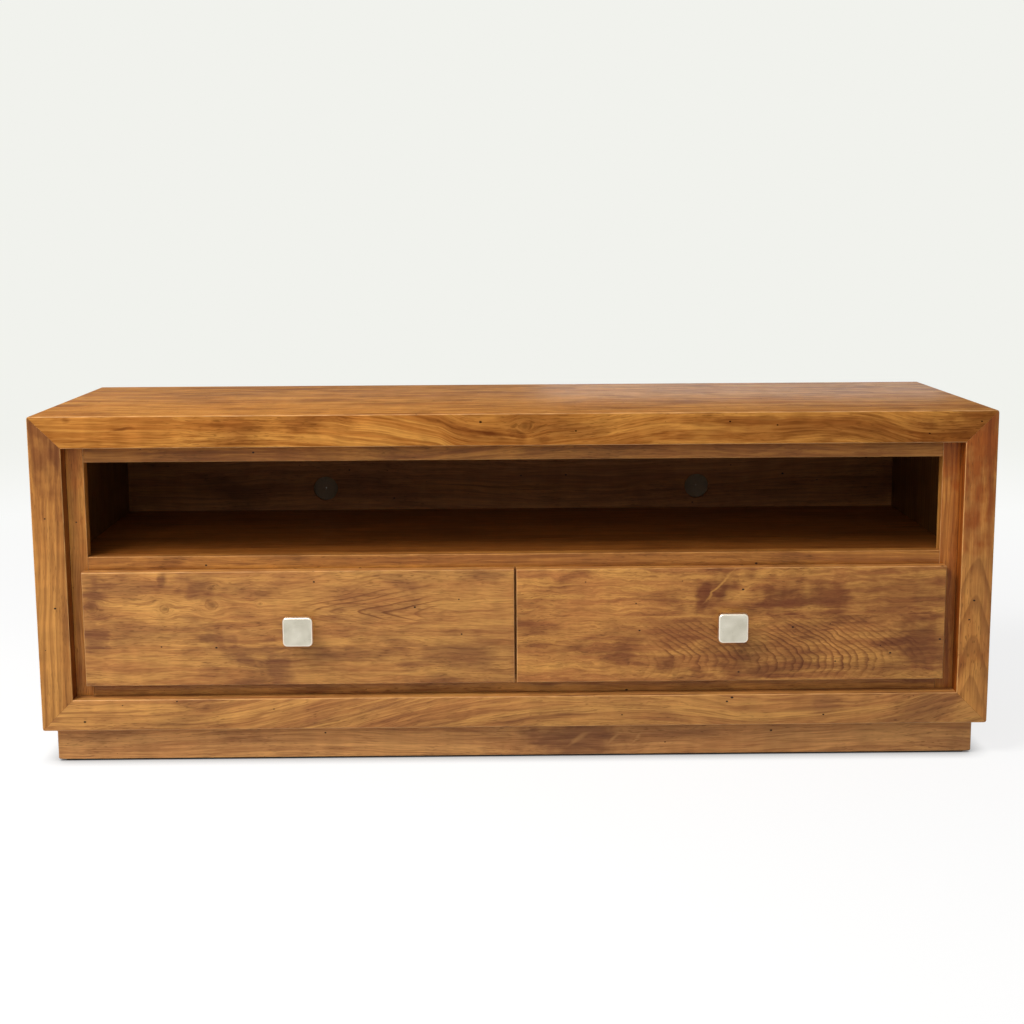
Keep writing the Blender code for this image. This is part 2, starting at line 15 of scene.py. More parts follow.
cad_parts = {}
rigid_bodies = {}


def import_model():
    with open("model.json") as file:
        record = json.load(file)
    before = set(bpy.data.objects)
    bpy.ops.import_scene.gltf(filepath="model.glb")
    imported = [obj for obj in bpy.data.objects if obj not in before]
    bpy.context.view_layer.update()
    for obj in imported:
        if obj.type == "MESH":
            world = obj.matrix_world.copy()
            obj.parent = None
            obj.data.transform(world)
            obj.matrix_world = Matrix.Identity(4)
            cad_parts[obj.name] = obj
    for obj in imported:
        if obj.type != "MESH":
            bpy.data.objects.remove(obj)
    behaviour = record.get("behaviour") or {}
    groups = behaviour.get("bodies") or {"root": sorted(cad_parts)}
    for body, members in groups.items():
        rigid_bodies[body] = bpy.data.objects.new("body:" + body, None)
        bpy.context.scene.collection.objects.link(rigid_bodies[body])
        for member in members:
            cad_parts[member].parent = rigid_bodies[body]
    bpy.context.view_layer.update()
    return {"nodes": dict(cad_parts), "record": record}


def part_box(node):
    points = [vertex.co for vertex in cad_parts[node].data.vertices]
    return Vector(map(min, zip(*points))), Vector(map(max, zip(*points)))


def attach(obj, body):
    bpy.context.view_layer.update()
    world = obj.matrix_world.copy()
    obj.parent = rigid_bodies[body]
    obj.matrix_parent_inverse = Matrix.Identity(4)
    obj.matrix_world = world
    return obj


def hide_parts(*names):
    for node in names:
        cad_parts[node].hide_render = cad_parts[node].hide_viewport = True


log = logging.getLogger("entertainment_center")

for leftover in list(bpy.data.objects):
    bpy.data.objects.remove(leftover)
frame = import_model()

# Loose triangles of the CAD are merged where points are this near and faces lie this flat.
WELD = 0.000002
FLAT_ANGLE = math.radians(0.3)
# Edges that turn by more than this are creases, and an eased edge turns in this many steps.
CREASE_ANGLE = math.radians(40)
EASE_STEPS = 2
# Quarter turn, and the turn that points a screw to the rear.
QUARTER_TURN = math.pi / 2
REARWARD = (-QUARTER_TURN, 0.0, 0.0)
# Middle of a noise, and the readings between which most of it lies.
HALF_NOISE = 0.5
NOISE_RANGE = (0.3, 0.7)
# A face looks along an axis where its normal reaches this far along it.
FACING = 0.7
# The inner face of a side board: how far out it lies, with 0.8 mm to spare, where it starts behind the
# rounded front edge, and where the back of the face frame meets it.
INNER_FACE = 0.7008
REVEAL_FRONT = -0.2366
FRAME_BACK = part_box("left_stile")[1].y

Point = tuple[float, float]
Triple = tuple[float, float, float]
Tree = bpy.types.NodeTree
Socket = bpy.types.NodeSocket
Sockets = bpy.types.NodeOutputs
Eye = tuple[Socket, Socket]
Inputs = dict[int | str, Any] | tuple[Any, ...]


def linear(code: str) -> tuple[float, float, float, float]:
    """Turn an sRGB hex colour into linear light.

    Args:
        code: Colour such as "#b07136".

    Returns:
        Linear red, green, blue and an alpha of one.
    """
    parts = [int(code[i:i + 2], 16) / 255 for i in (1, 3, 5)]
    red, green, blue = (p / 12.92 if p <= 0.04045 else ((p + 0.055) / 1.055) ** 2.4 for p in parts)
    return red, green, blue, 1.0


def add(tree: Tree, kind: str, inputs: Inputs = (), **settings: Any) -> bpy.types.Node:
    """Add one node with its settings and links.

    Args:
        tree: Node tree that gets the node.
        kind: Blender's name of the node type.
        inputs: Value or source socket for each input, in order, or by index or name.
        **settings: Properties of the node itself.

    Returns:
        The new node.
    """
    node = tree.nodes.new(kind)
    for key, value in settings.items():
        setattr(node, key, value)
    for key, value in inputs.items() if isinstance(inputs, dict) else enumerate(inputs):
        if isinstance(value, Socket):
            tree.links.new(value, node.inputs[key])
        else:
            node.inputs[key].default_value = value
    return node


class Slot(Enum):
    """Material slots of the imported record."""

    STAINED = "stained_wood"
    FRONT = "front_wood"
    PLINTH = "plinth_wood"
    PLAIN = "plain_wood"
    SHEET = "plywood"
    NICKEL = "nickel"
    ZINC = "zinc"
    FELT = "felt"


class Grain(Enum):
    """Way the fibres run; the value lists the world axes along, across and through the board."""

    WIDE = (0, 2, 1)
    FLAT = (0, 1, 2)
    TALL = (2, 0, 1)
    DEEP = (1, 2, 0)


class Cell(Enum):
    """Patterns in the wood: cell length along the board, cell width, both in metres, and octaves.

    Real fibres are far finer than 1 mm. They are drawn 1 to 2 mm wide so that they show.
    """

    DRIFT = (0.55, 0.26, 2.0)
    MEANDER = (0.26, 0.042, 2.0)
    RIPPLE = (0.055, 0.022, 1.0)
    MOTTLE = (0.030, 0.014, 3.0)
    STREAK = (0.40, 0.015, 4.0)
    VEIN = (0.17, 0.0048, 2.0)
    FIBRE = (0.060, 0.0022, 2.0)
    FLECK = (0.011, 0.0014, 0.0)
    CLOUD = (0.150, 0.060, 3.0)
    CURL = (0.026, 0.090, 2.0)


@dataclass(frozen=True)
class Finish(ABC):
    """A surface: one material, made once and shared by the pieces that wear it."""

    name: str

    def material(self) -> bpy.types.Material:
        """Find the material, or build it the first time.

        Returns:
            The material of this finish.
        """
        made = bpy.data.materials.get(self.name)
        if made is None:
            made = bpy.data.materials.new(self.name)
            made.use_nodes = True
            tree = made.node_tree
            tree.nodes.clear()
            shader = add(tree, "ShaderNodeBsdfPrincipled", self.paint(tree))
            add(tree, "ShaderNodeOutputMaterial", {"Surface": shader.outputs[0]})
        return made

    @staticmethod
    def spread(tree: Tree, place: Socket, cell: Triple, octaves: float, lean: float = 0.0,
               shift: Triple = (0.0, 0.0, 0.0)) -> Sockets:
        """Spread a random pattern whose cells have a real size over the surface.

        Args:
            tree: The material's node tree.
            place: Coordinates to read, in metres.
            cell: Size of the cells along each axis, in metres.
            octaves: Layers of finer detail.
            lean: Distortion of the cells.
            shift: Step to another part of the pattern, in cells.

        Returns:
            The pattern as a factor and as a colour.
        """
        scale = [1 / size for size in cell]
        scaled = add(tree, "ShaderNodeVectorMath", (place, scale, shift), operation="MULTIPLY_ADD").outputs[0]
        return add(tree, "ShaderNodeTexNoise",
                   {"Vector": scaled, "Scale": 1.0, "Detail": octaves, "Distortion": lean}).outputs

    @staticmethod
    def textured(tree: Tree, sheen: Socket, height: Socket, roughness: Point, bump: Point) -> dict[str, Any]:
        """Let one pattern vary the gloss of the surface and one raise its relief.

        Args:
            tree: The material's node tree.
            sheen: Pattern that varies the gloss.
            height: Pattern that raises the relief.
            roughness: Roughness at both ends of the first pattern.
            bump: Strength of the relief, and its depth in metres.

        Returns:
            Source of the shader's roughness and relief.
        """
        rough = add(tree, "ShaderNodeMapRange", (sheen, *NOISE_RANGE, *roughness)).outputs[0]
        strength, depth = bump
        relief = add(tree, "ShaderNodeBump", {"Strength": strength, "Distance": depth, "Height": height})
        return {"Roughness": rough, "Normal": relief.outputs[0]}

    @abstractmethod
    def paint(self, tree: Tree) -> dict[str, Any]:
        """Add the nodes that colour and roughen the surface.

        Args:
            tree: The material's node tree.

        Returns:
            Value or source for each socket of the shader that the finish sets.
        """


@dataclass(frozen=True)
class Palette:
    """Colours of one stain, from early wood to the bottom of a hole; stain filters its dark patches."""

    light: str
    mid: str
    late: str
    stain: str
    knot: str
    # Colour of the rounded edges: partly wear of the stain, partly a painted highlight.
    wear_and_highlight: str
    pore: str = "#24130a"


@dataclass(frozen=True)
class Seam:
    """Glue line between two boards, at a height across the panel."""

    across: float
    other_below: bool = True


@dataclass(frozen=True)
class Arches:
    """Stretch of a board where the rings climb and meet the face in arches."""

    start: float
    end: float
    rise: float


@dataclass(frozen=True)
class Knot:
    """Cut branch that the grain parts round."""

    along: float
    across: float
    radius: float


@dataclass(frozen=True)
class Patch:
    """Oval place on a board, by its middle, half length, half height, strength and lean in radians."""

    along: float
    across: float
    length: float
    height: float
    depth: float = 0.85
    lean: float = 0.0


@dataclass(frozen=True)
class Pine(Finish):
    """Flat-sawn pine, planed, stained and lacquered.

    Rings, fibres and stain patches are solid patterns in the board, so they run on round its edges.
    """

    grain: Grain
    palette: Palette
    seed: float
    pith: Point
    corner: Point = (0.0, 0.0)
    ring_spacing: float = 0.0075
    late_share: float = 0.55
    ring_depth: float = 0.42
    wander: float = 0.050
    sway: float = 0.016
    ripple: float = 0.004
    feather: float = 0.0
    stretch: float = 1.0
    vigour: float = 1.0
    course: tuple[Point, ...] = ()
    arches: Arches | None = None
    seams: tuple[Seam, ...] = ()
    figures: tuple[Patch, ...] = ()
    knots: tuple[Knot, ...] = ()
    patches: tuple[Patch, ...] = ()
    rays: tuple[Patch, ...] = ()
    patchiness: float = 0.55
    roughness: Point = (0.30, 0.46)
    coat: float = 0.08
    specular: float = 0.18
    shimmer: float = 0.10
    # Filters that paint shade on the inner faces of a side board, beside the frame and in the bay.
    painted_inner_shade: tuple[str, str] | None = None

    # Steps that a seed moves the patterns by, and the step from one glued board to the next.
    SEED_STEP = (3.7, 1.9, 2.3)
    SEAM_SHIFT = (5.3, 0.21, 0.0)
    # An oval has no end through the board, and a level face reads the grain far from the course.
    UNSEEN = 1.0e6
    FLAT_FACE = -0.5
    # Reach of the ripples along the board, and of the shaking that keeps ovals from being true.
    RIPPLE_ALONG = 0.010
    SHAKE = (0.014, 0.012, 0.0)
    # Ring: where the darkening ends, where the sharp return starts, and the weakest year's share.
    LATE_FULL = 0.88
    LATE_END = 0.90
    WEAK_YEAR = 0.55
    # Borer holes: spacing, largest radius, squeeze that makes them oval, step of a seed, share of places
    # without a hole, softness of the rim, and depth in the relief.
    HOLE_SPACING = 0.055
    HOLE_RADIUS = 0.0019
    HOLE_SQUEEZE = (0.7, 1.0, 1.0)
    HOLE_STEP = (1.0, 1.7, 0.0)
    HOLE_EMPTY = 0.40
    HOLE_RIM = 0.010
    HOLE_SINK = -6.0
    # Knots: length over height, push on the grain, ring spacing of the loops and their share of the rings.
    KNOT_LENGTH = 1.25
    KNOT_PUSH = -0.85
    LOOP_SPACING = 0.8
    LOOP_DEPTH = 0.5
    # Torn edges: pull of curl, streak and mottle, what brings their mean to zero, and how far they move the
    # edges of clouds, patches and figures. The clouds also lean.
    TEAR = (1.1, 1.0, 1.2)
    TEAR_REST = -HALF_NOISE * sum(TEAR)
    CLOUD_TEAR = 0.14
    PATCH_TEAR = -1.4
    FIGURE_TEAR = -0.6
    CLOUD_LEAN = 0.5
    # Share of their depth that the rings keep where they are faintest.
    FAINT_RINGS = 0.35
    # Strength and depth of the fibres' relief, and the gloss of the lacquer over it.
    BUMP = (0.35, 0.00012)
    COAT_ROUGHNESS = 0.12

    # How a layer comes up: the reading where it starts, where it ends, and its strength at both.
    PARTED = (0.0, 4.5, 1.0, 0.0)
    HEART = (0.15, 1.2, 0.55, 0.0)
    LOOPS = (1.6, 3.0, 1.0, 0.0)
    BAND = (0.36, 0.62, 0.0, 1.0)
    THREAD = (0.42, 0.70, 0.0, 0.55)
    DARK_VEIN = (0.54, 0.68, 0.0, 0.55)
    PALE_VEIN = (0.44, 0.36, 0.0, 0.50)
    DASH = (0.63, 0.75, 0.0, 0.48)
    CROWD = (0.40, 0.58, 0.15, 1.0)
    # Rounded edges, paler from wear and from a painted highlight: the turn of the face, and the share of the
    # noise.
    EDGE_WEAR_AND_HIGHLIGHT = (0.985, 0.80, 0.0, 1.0)
    WEAR_AND_HIGHLIGHT_SHARE = (0.35, 0.60, 0.25, 0.70)
    # The same where the board or the patch gives the strength: the reading where it starts and where it ends.
    SHADED = (0.48, 0.72)
    PATCH_EDGE = (0.20, 1.40)
    FIGURE_EDGE = (0.50, 1.20)
    RAY_EDGE = (0.3, 1.1)
    FADE = (0.36, 0.58)

    def grow(self, tree: Tree, place: Socket, cell: Cell, stretch: float = 1.0, lean: float = 0.0) -> Sockets:
        """Spread one of the patterns in the wood, moved on by the board's seed.

        Args:
            tree: The material's node tree.
            place: Board coordinates to read.
            cell: Pattern to draw.
            stretch: Factor on the length of its cells.
            lean: Distortion of its cells.

        Returns:
            The pattern as a factor and as a colour.
        """
        length, width, octaves = cell.value
        shift = tuple(self.seed * step for step in self.SEED_STEP)
        return self.spread(tree, place, (length * stretch, width, width), octaves, lean, shift)

    def lift_at(self, along: float) -> float:
        """Read the height of the grain's course at one place.

        Args:
            along: Place along the board.

        Returns:
            Height in metres, zero off the course.
        """
        for (near, low), (far, high) in zip(self.course, self.course[1:]):
            if near <= along <= far:
                return low + (high - low) * (along - near) / (far - near)
        return 0.0

    def lift(self, tree: Tree, along: Socket) -> Socket:
        """Follow the grain's course as it climbs and falls along the board.

        Args:
            tree: The material's node tree.
            along: Place along the board.

        Returns:
            Height of the course in metres.
        """
        places, heights = zip(*self.course)
        first, last = places[0], places[-1]
        low, high = min(heights), max(heights)
        share = add(tree, "ShaderNodeMapRange", (along, first, last, 0.0, 1.0)).outputs[0]
        curve = add(tree, "ShaderNodeFloatCurve", {"Value": share})
        spots = [((a - first) / (last - first), (h - low) / (high - low)) for a, h in self.course]
        points = curve.mapping.curves[0].points
        points[0].location, points[1].location = spots[0], spots[-1]
        for spot in spots[1:-1]:
            points.new(*spot)
        curve.mapping.update()
        return add(tree, "ShaderNodeMapRange", (curve.outputs[0], 0.0, 1.0, low, high)).outputs[0]

    def level(self, tree: Tree, along: Socket, across: Socket, up: Socket) -> Socket:
        """Measure a point's height across the board from the grain's course.

        Args:
            tree: The material's node tree.
            along: Place along the board.
            across: Place across the board.
            up: How squarely the face looks up or down.

        Returns:
            Height over the course on an upright face; a level face reads the grain far from it.
        """
        if not self.course:
            return across
        upright = add(tree, "ShaderNodeMath", (up, FACING), operation="LESS_THAN").outputs[0]
        lift = self.lift(tree, along)
        fall = add(tree, "ShaderNodeMix", {0: upright, 2: self.FLAT_FACE, 3: lift}).outputs[0]
        return add(tree, "ShaderNodeMath", (across, fall), operation="SUBTRACT").outputs[0]

    def glued(self, tree: Tree, run: Socket, across: Socket) -> tuple[Socket, Socket | None]:
        """Move the pattern on at each glue line, so that the boards differ.

        Args:
            tree: The material's node tree.
            run: Board coordinates.
            across: Place across the panel.

        Returns:
            The moved coordinates, and a mask of the other board where there is one.
        """
        laid, other = run, None
        for seam in self.seams:
            other = add(tree, "ShaderNodeMath", (across, self.corner[1] + seam.across),
                        operation="LESS_THAN" if seam.other_below else "GREATER_THAN").outputs[0]
            laid = add(tree, "ShaderNodeVectorMath", (other, self.SEAM_SHIFT, laid),
                       operation="MULTIPLY_ADD").outputs[0]
        return laid, other

    def oval(self, tree: Tree, place: Socket, spot: Patch) -> tuple[Socket, Socket]:
        """Measure how far a point lies from an oval's middle, with one at its outline.

        Args:
            tree: The material's node tree.
            place: Board coordinates to read.
            spot: The oval, measured from the panel's corner.

        Returns:
            The scaled offset from the middle, and its length.
        """
        along, across = self.corner[0] + spot.along, self.corner[1] + spot.across
        offset = add(tree, "ShaderNodeMapping",
                     {"Vector": place, "Location": (along, across - self.lift_at(along), 0.0),
                      "Rotation": (0.0, 0.0, spot.lean), "Scale": (spot.length, spot.height, self.UNSEEN)},
                     vector_type="TEXTURE").outputs[0]
        return offset, add(tree, "ShaderNodeVectorMath", (offset,), operation="LENGTH").outputs["Value"]

    def parted(self, tree: Tree, loose: Socket, flow: Socket) -> tuple[Socket, list[Socket], list[Eye]]:
        """Part the grain round each knot.

        Args:
            tree: The material's node tree.
            loose: Board coordinates shaken a little, so that no knot is a true oval.
            flow: Board coordinates bent by waves.

        Returns:
            The parted coordinates, the dark heart of each knot, and the loops round it for the rings.
        """
        hearts, eyes = [], []
        for knot in self.knots:
            outline = Patch(knot.along, knot.across, knot.radius * self.KNOT_LENGTH, knot.radius)
            offset, reach = self.oval(tree, loose, outline)
            close, heart, loops = (add(tree, "ShaderNodeMapRange", (reach, *span),
                                       interpolation_type="SMOOTHSTEP").outputs[0]
                                   for span in (self.PARTED, self.HEART, self.LOOPS))
            push = add(tree, "ShaderNodeVectorMath", (offset, (0.0, self.KNOT_PUSH * knot.radius, 0.0)),
                       operation="MULTIPLY").outputs[0]
            flow = add(tree, "ShaderNodeVectorMath", (push, close, flow), operation="MULTIPLY_ADD").outputs[0]
            hearts.append(heart)
            eyes.append((reach, loops))
        return flow, hearts, eyes

    def climb(self, tree: Tree, along: Socket, front: Socket, other: Socket | None) -> Socket | None:
        """Let the rings climb along the front of an arched board.

        Args:
            tree: The material's node tree.
            along: Place along the board.
            front: How squarely the face looks to the front or rear.
            other: Mask of the board past the glue line, which has no arches.

        Returns:
            Height that the rings have climbed, or nothing on a board without arches.
        """
        if self.arches is None:
            return None
        start, end = (self.corner[0] + place for place in (self.arches.start, self.arches.end))
        left = add(tree, "ShaderNodeMapRange", (along, start, end, 1.0, 0.0)).outputs[0]
        shares = [self.arches.rise, front]
        if other is not None:
            shares.append(add(tree, "ShaderNodeMath", (1.0, other), operation="SUBTRACT").outputs[0])
        for share in shares:
            left = add(tree, "ShaderNodeMath", (left, share), operation="MULTIPLY").outputs[0]
        return left

    def rings(self, tree: Tree, flow: Socket, climb: Socket | None, eyes: list[Eye]) -> Socket:
        """Add growth rings: slow darkening into late wood, then a sharp return to early wood.

        Args:
            tree: The material's node tree.
            flow: Board coordinates bent by waves and knots.
            climb: Height that the rings have climbed in the arches.
            eyes: For each knot, the distance in radii and the share of its own loops.

        Returns:
            Share of late wood, 0 to 1; each ring has its own strength.
        """
        drift = self.wander * HALF_NOISE
        centre = (0.0, -self.pith[0] - drift, -self.pith[1] - drift)
        radial = add(tree, "ShaderNodeVectorMath", (flow, (0.0, 1.0, 1.0), centre),
                     operation="MULTIPLY_ADD").outputs[0]
        radius = add(tree, "ShaderNodeVectorMath", (radial,), operation="LENGTH").outputs["Value"]
        if climb is not None:
            radius = add(tree, "ShaderNodeMath", (radius, climb), operation="SUBTRACT").outputs[0]
        for reach, near in eyes:
            loop = add(tree, "ShaderNodeMath", (reach, self.ring_spacing * self.LOOP_SPACING),
                       operation="MULTIPLY").outputs[0]
            radius = add(tree, "ShaderNodeMix", {0: near, 2: radius, 3: loop}).outputs[0]
        phase = add(tree, "ShaderNodeMath", (radius, self.ring_spacing), operation="DIVIDE").outputs[0]
        year = add(tree, "ShaderNodeMath", (phase,), operation="FLOOR").outputs[0]
        chance = add(tree, "ShaderNodeTexWhiteNoise", {"W": year}, noise_dimensions="1D").outputs["Value"]
        strength = add(tree, "ShaderNodeMapRange", (chance, 0.0, 1.0, self.WEAK_YEAR, 1.0)).outputs[0]
        saw = add(tree, "ShaderNodeMath", (phase,), operation="FRACT").outputs[0]
        early = self.LATE_END - self.late_share
        rise, fall = (add(tree, "ShaderNodeMapRange", (saw, start, end, 0.0, 1.0),
                          interpolation_type="SMOOTHSTEP").outputs[0]
                      for start, end in ((early, self.LATE_FULL), (self.LATE_END, 1.0)))
        late = add(tree, "ShaderNodeMath", (rise, fall), operation="SUBTRACT").outputs[0]
        return add(tree, "ShaderNodeMath", (late, strength), operation="MULTIPLY").outputs[0]

    def ring_strength(self, tree: Tree, drift: Socket, torn: Socket, loose: Socket,
                      eyes: list[Eye]) -> Socket:
        """Say how strongly the rings show: faint in places, clear round knots and in figures.

        Args:
            tree: The material's node tree.
            drift: Slow noise as a colour.
            torn: Noise that tears the edge of a figure.
            loose: Board coordinates shaken a little.
            eyes: For each knot, the distance in radii and the share of its own loops.

        Returns:
            Strength of the rings, 0 to 1.
        """
        slow = add(tree, "ShaderNodeSeparateXYZ", (drift,)).outputs[0]
        depth = add(tree, "ShaderNodeMapRange",
                    (slow, *self.FADE, self.ring_depth * self.FAINT_RINGS, self.ring_depth)).outputs[0]
        zones = [add(tree, "ShaderNodeMath", (near, self.LOOP_DEPTH), operation="MULTIPLY")
                 for _, near in eyes]
        for figure in self.figures:
            edge = add(tree, "ShaderNodeMath", (torn, self.FIGURE_TEAR, self.oval(tree, loose, figure)[1]),
                       operation="MULTIPLY_ADD").outputs[0]
            zones.append(add(tree, "ShaderNodeMapRange", (edge, *self.FIGURE_EDGE, figure.depth, 0.0),
                             interpolation_type="SMOOTHSTEP"))
        for zone in zones:
            depth = add(tree, "ShaderNodeMath", (depth, zone.outputs[0]), operation="MAXIMUM").outputs[0]
        return depth

    def stained(self, tree: Tree, cloud: Socket, torn: Socket, loose: Socket, front: Socket) -> Socket:
        """Add the patches where the stain went in deep, with torn edges.

        Args:
            tree: The material's node tree.
            cloud: Noise of the small patches all over the board.
            torn: Noise that tears their edges.
            loose: Board coordinates shaken a little.
            front: How squarely the face looks to the front or rear, where the placed patches show.

        Returns:
            Strength of the stain, 0 to 1.
        """
        ragged = add(tree, "ShaderNodeMath", (torn, self.CLOUD_TEAR, cloud),
                     operation="MULTIPLY_ADD").outputs[0]
        shade = add(tree, "ShaderNodeMapRange", (ragged, *self.SHADED, 0.0, self.patchiness),
                    interpolation_type="SMOOTHSTEP").outputs[0]
        for patch in self.patches:
            edge = add(tree, "ShaderNodeMath", (torn, self.PATCH_TEAR, self.oval(tree, loose, patch)[1]),
                       operation="MULTIPLY_ADD").outputs[0]
            soft = add(tree, "ShaderNodeMapRange", (edge, *self.PATCH_EDGE, patch.depth, 0.0),
                       interpolation_type="SMOOTHSTEP").outputs[0]
            ahead = add(tree, "ShaderNodeMath", (soft, front), operation="MULTIPLY").outputs[0]
            shade = add(tree, "ShaderNodeMath", (shade, ahead), operation="MAXIMUM").outputs[0]
        return shade

    def edge_wear_and_highlight(self, tree: Tree, side: Sockets, wear: Socket) -> Socket:
        """Find the rounded edges, where handling wears the stain thin and a pale highlight is painted.

        Args:
            tree: The material's node tree.
            side: How squarely the face looks along each world axis.
            wear: Noise that rubs some places more than others.

        Returns:
            Strength of the wear and of the painted highlight, zero on flat faces.
        """
        square = side[0]
        for axis in (side[1], side[2]):
            square = add(tree, "ShaderNodeMath", (square, axis), operation="MAXIMUM").outputs[0]
        edge = add(tree, "ShaderNodeMapRange", (square, *self.EDGE_WEAR_AND_HIGHLIGHT)).outputs[0]
        share = add(tree, "ShaderNodeMapRange", (wear, *self.WEAR_AND_HIGHLIGHT_SHARE)).outputs[0]
        return add(tree, "ShaderNodeMath", (edge, share), operation="MULTIPLY").outputs[0]

    def borer_holes(self, tree: Tree, xyz: Sockets, side: Sockets) -> Socket:
        """Add oval borer holes on whichever face is seen.

        Args:
            tree: The material's node tree.
            xyz: World coordinates.
            side: How squarely the face looks along each world axis.

        Returns:
            One inside a hole, zero outside.
        """
        end, flat = (add(tree, "ShaderNodeMath", (side[axis], FACING), operation="GREATER_THAN").outputs[0]
                     for axis in (0, 2))
        first = add(tree, "ShaderNodeMix", {0: end, 2: xyz[0], 3: xyz[1]}).outputs[0]
        second = add(tree, "ShaderNodeMix", {0: flat, 2: xyz[2], 3: xyz[1]}).outputs[0]
        face = add(tree, "ShaderNodeCombineXYZ", (first, second, 0.0)).outputs[0]
        shift = [self.seed * step for step in self.HOLE_STEP]
        shifted = add(tree, "ShaderNodeVectorMath", (face, self.HOLE_SQUEEZE, shift),
                      operation="MULTIPLY_ADD").outputs[0]
        cells = add(tree, "ShaderNodeTexVoronoi", {"Vector": shifted, "Scale": 1 / self.HOLE_SPACING},
                    voronoi_dimensions="2D").outputs
        chance = add(tree, "ShaderNodeSeparateXYZ", (cells["Color"],)).outputs[0]
        radius = add(tree, "ShaderNodeMapRange",
                     (chance, self.HOLE_EMPTY, 1.0, 0.0, self.HOLE_RADIUS / self.HOLE_SPACING)).outputs[0]
        depth = add(tree, "ShaderNodeMath", (radius, cells["Distance"]), operation="SUBTRACT").outputs[0]
        return add(tree, "ShaderNodeMapRange", (depth, 0.0, self.HOLE_RIM, 0.0, 1.0)).outputs[0]

    def shade_inner_faces(self, tree: Tree, xyz: Sockets) -> list[tuple[Socket, str]]:
        """Find the inner face of a side board, where shade is painted beside the frame and in the bay.

        Args:
            tree: The material's node tree.
            xyz: World coordinates.

        Returns:
            Mask and filter of the painted shade on the reveal in front of the frame, and on the wall of the
            bay behind it.
        """
        out = add(tree, "ShaderNodeMath", (xyz[0],), operation="ABSOLUTE").outputs[0]
        inner = add(tree, "ShaderNodeMath", (out, INNER_FACE), operation="LESS_THAN").outputs[0]
        past, behind = (add(tree, "ShaderNodeMath", (xyz[1], y), operation="GREATER_THAN").outputs[0]
                        for y in (REVEAL_FRONT, FRAME_BACK))
        reveal = add(tree, "ShaderNodeMath", (past, behind), operation="SUBTRACT").outputs[0]
        masks = [add(tree, "ShaderNodeMath", (inner, place), operation="MULTIPLY").outputs[0]
                 for place in (reveal, behind)]
        return list(zip(masks, self.painted_inner_shade))

    def paint(self, tree: Tree) -> dict[str, Any]:
        """Add rings, fibres, stain patches, knots, borer holes and edges with wear and a painted highlight
        under a satin lacquer.

        Args:
            tree: The material's node tree.

        Returns:
            Source of the colour, roughness and relief, and the values of the lacquer.
        """
        where = add(tree, "ShaderNodeTexCoord").outputs
        xyz = add(tree, "ShaderNodeSeparateXYZ", (where["Object"],)).outputs
        along, across, through = (xyz[axis] for axis in self.grain.value)
        facing = add(tree, "ShaderNodeVectorMath", (where["Normal"],), operation="ABSOLUTE").outputs[0]
        side = add(tree, "ShaderNodeSeparateXYZ", (facing,)).outputs
        level = self.level(tree, along, across, side[2])
        run = add(tree, "ShaderNodeCombineXYZ", (along, level, through)).outputs[0]
        laid, other = self.glued(tree, run, across)

        drift, meander, ripple, mottle = (
            self.grow(tree, laid, cell) for cell in (Cell.DRIFT, Cell.MEANDER, Cell.RIPPLE, Cell.MOTTLE))
        flow = laid
        for noise, onward, reach in ((drift, 0.0, self.wander), (meander, 0.0, self.sway),
                                     (ripple, self.RIPPLE_ALONG, self.ripple), (mottle, 0.0, self.feather)):
            flow = add(tree, "ShaderNodeVectorMath", (noise["Color"], (onward, reach, reach), flow),
                       operation="MULTIPLY_ADD").outputs[0]
        shaken = add(tree, "ShaderNodeVectorMath", (mottle["Color"], (HALF_NOISE, HALF_NOISE, 0.0)),
                     operation="SUBTRACT").outputs[0]
        loose = add(tree, "ShaderNodeVectorMath", (shaken, self.SHAKE, run),
                    operation="MULTIPLY_ADD").outputs[0]
        flow, hearts, eyes = self.parted(tree, loose, flow)
        late = self.rings(tree, flow, self.climb(tree, along, side[1], other), eyes)

        streak, vein, fibre = (self.grow(tree, flow, cell, stretch=self.stretch)[0]
                               for cell in (Cell.STREAK, Cell.VEIN, Cell.FIBRE))
        fleck = self.grow(tree, flow, Cell.FLECK)[0]
        cloud = self.grow(tree, laid, Cell.CLOUD, lean=self.CLOUD_LEAN)[0]
        curl = self.grow(tree, laid, Cell.CURL)[0]
        torn = self.TEAR_REST
        for noise, pull in zip((curl, streak, mottle[0]), self.TEAR):
            torn = add(tree, "ShaderNodeMath", (noise, pull, torn), operation="MULTIPLY_ADD").outputs[0]
        shade = self.stained(tree, cloud, torn, loose, side[1])
        depth = self.ring_strength(tree, drift["Color"], torn, loose, eyes)
        line = add(tree, "ShaderNodeMath", (late, depth), operation="MULTIPLY").outputs[0]
        band, thread, dark_vein, pale_vein, dash, crowd = (
            add(tree, "ShaderNodeMapRange", (noise, *span[:3], span[3] * force)).outputs[0]
            for noise, span, force in (
                (streak, self.BAND, 1.0), (fibre, self.THREAD, self.vigour),
                (vein, self.DARK_VEIN, self.vigour), (vein, self.PALE_VEIN, self.vigour),
                (fleck, self.DASH, 1.0), (cloud, self.CROWD, 1.0)))
        dash = add(tree, "ShaderNodeMath", (dash, crowd), operation="MULTIPLY").outputs[0]
        wear_and_highlight = self.edge_wear_and_highlight(tree, side, curl)
        hole = self.borer_holes(tree, xyz, side)

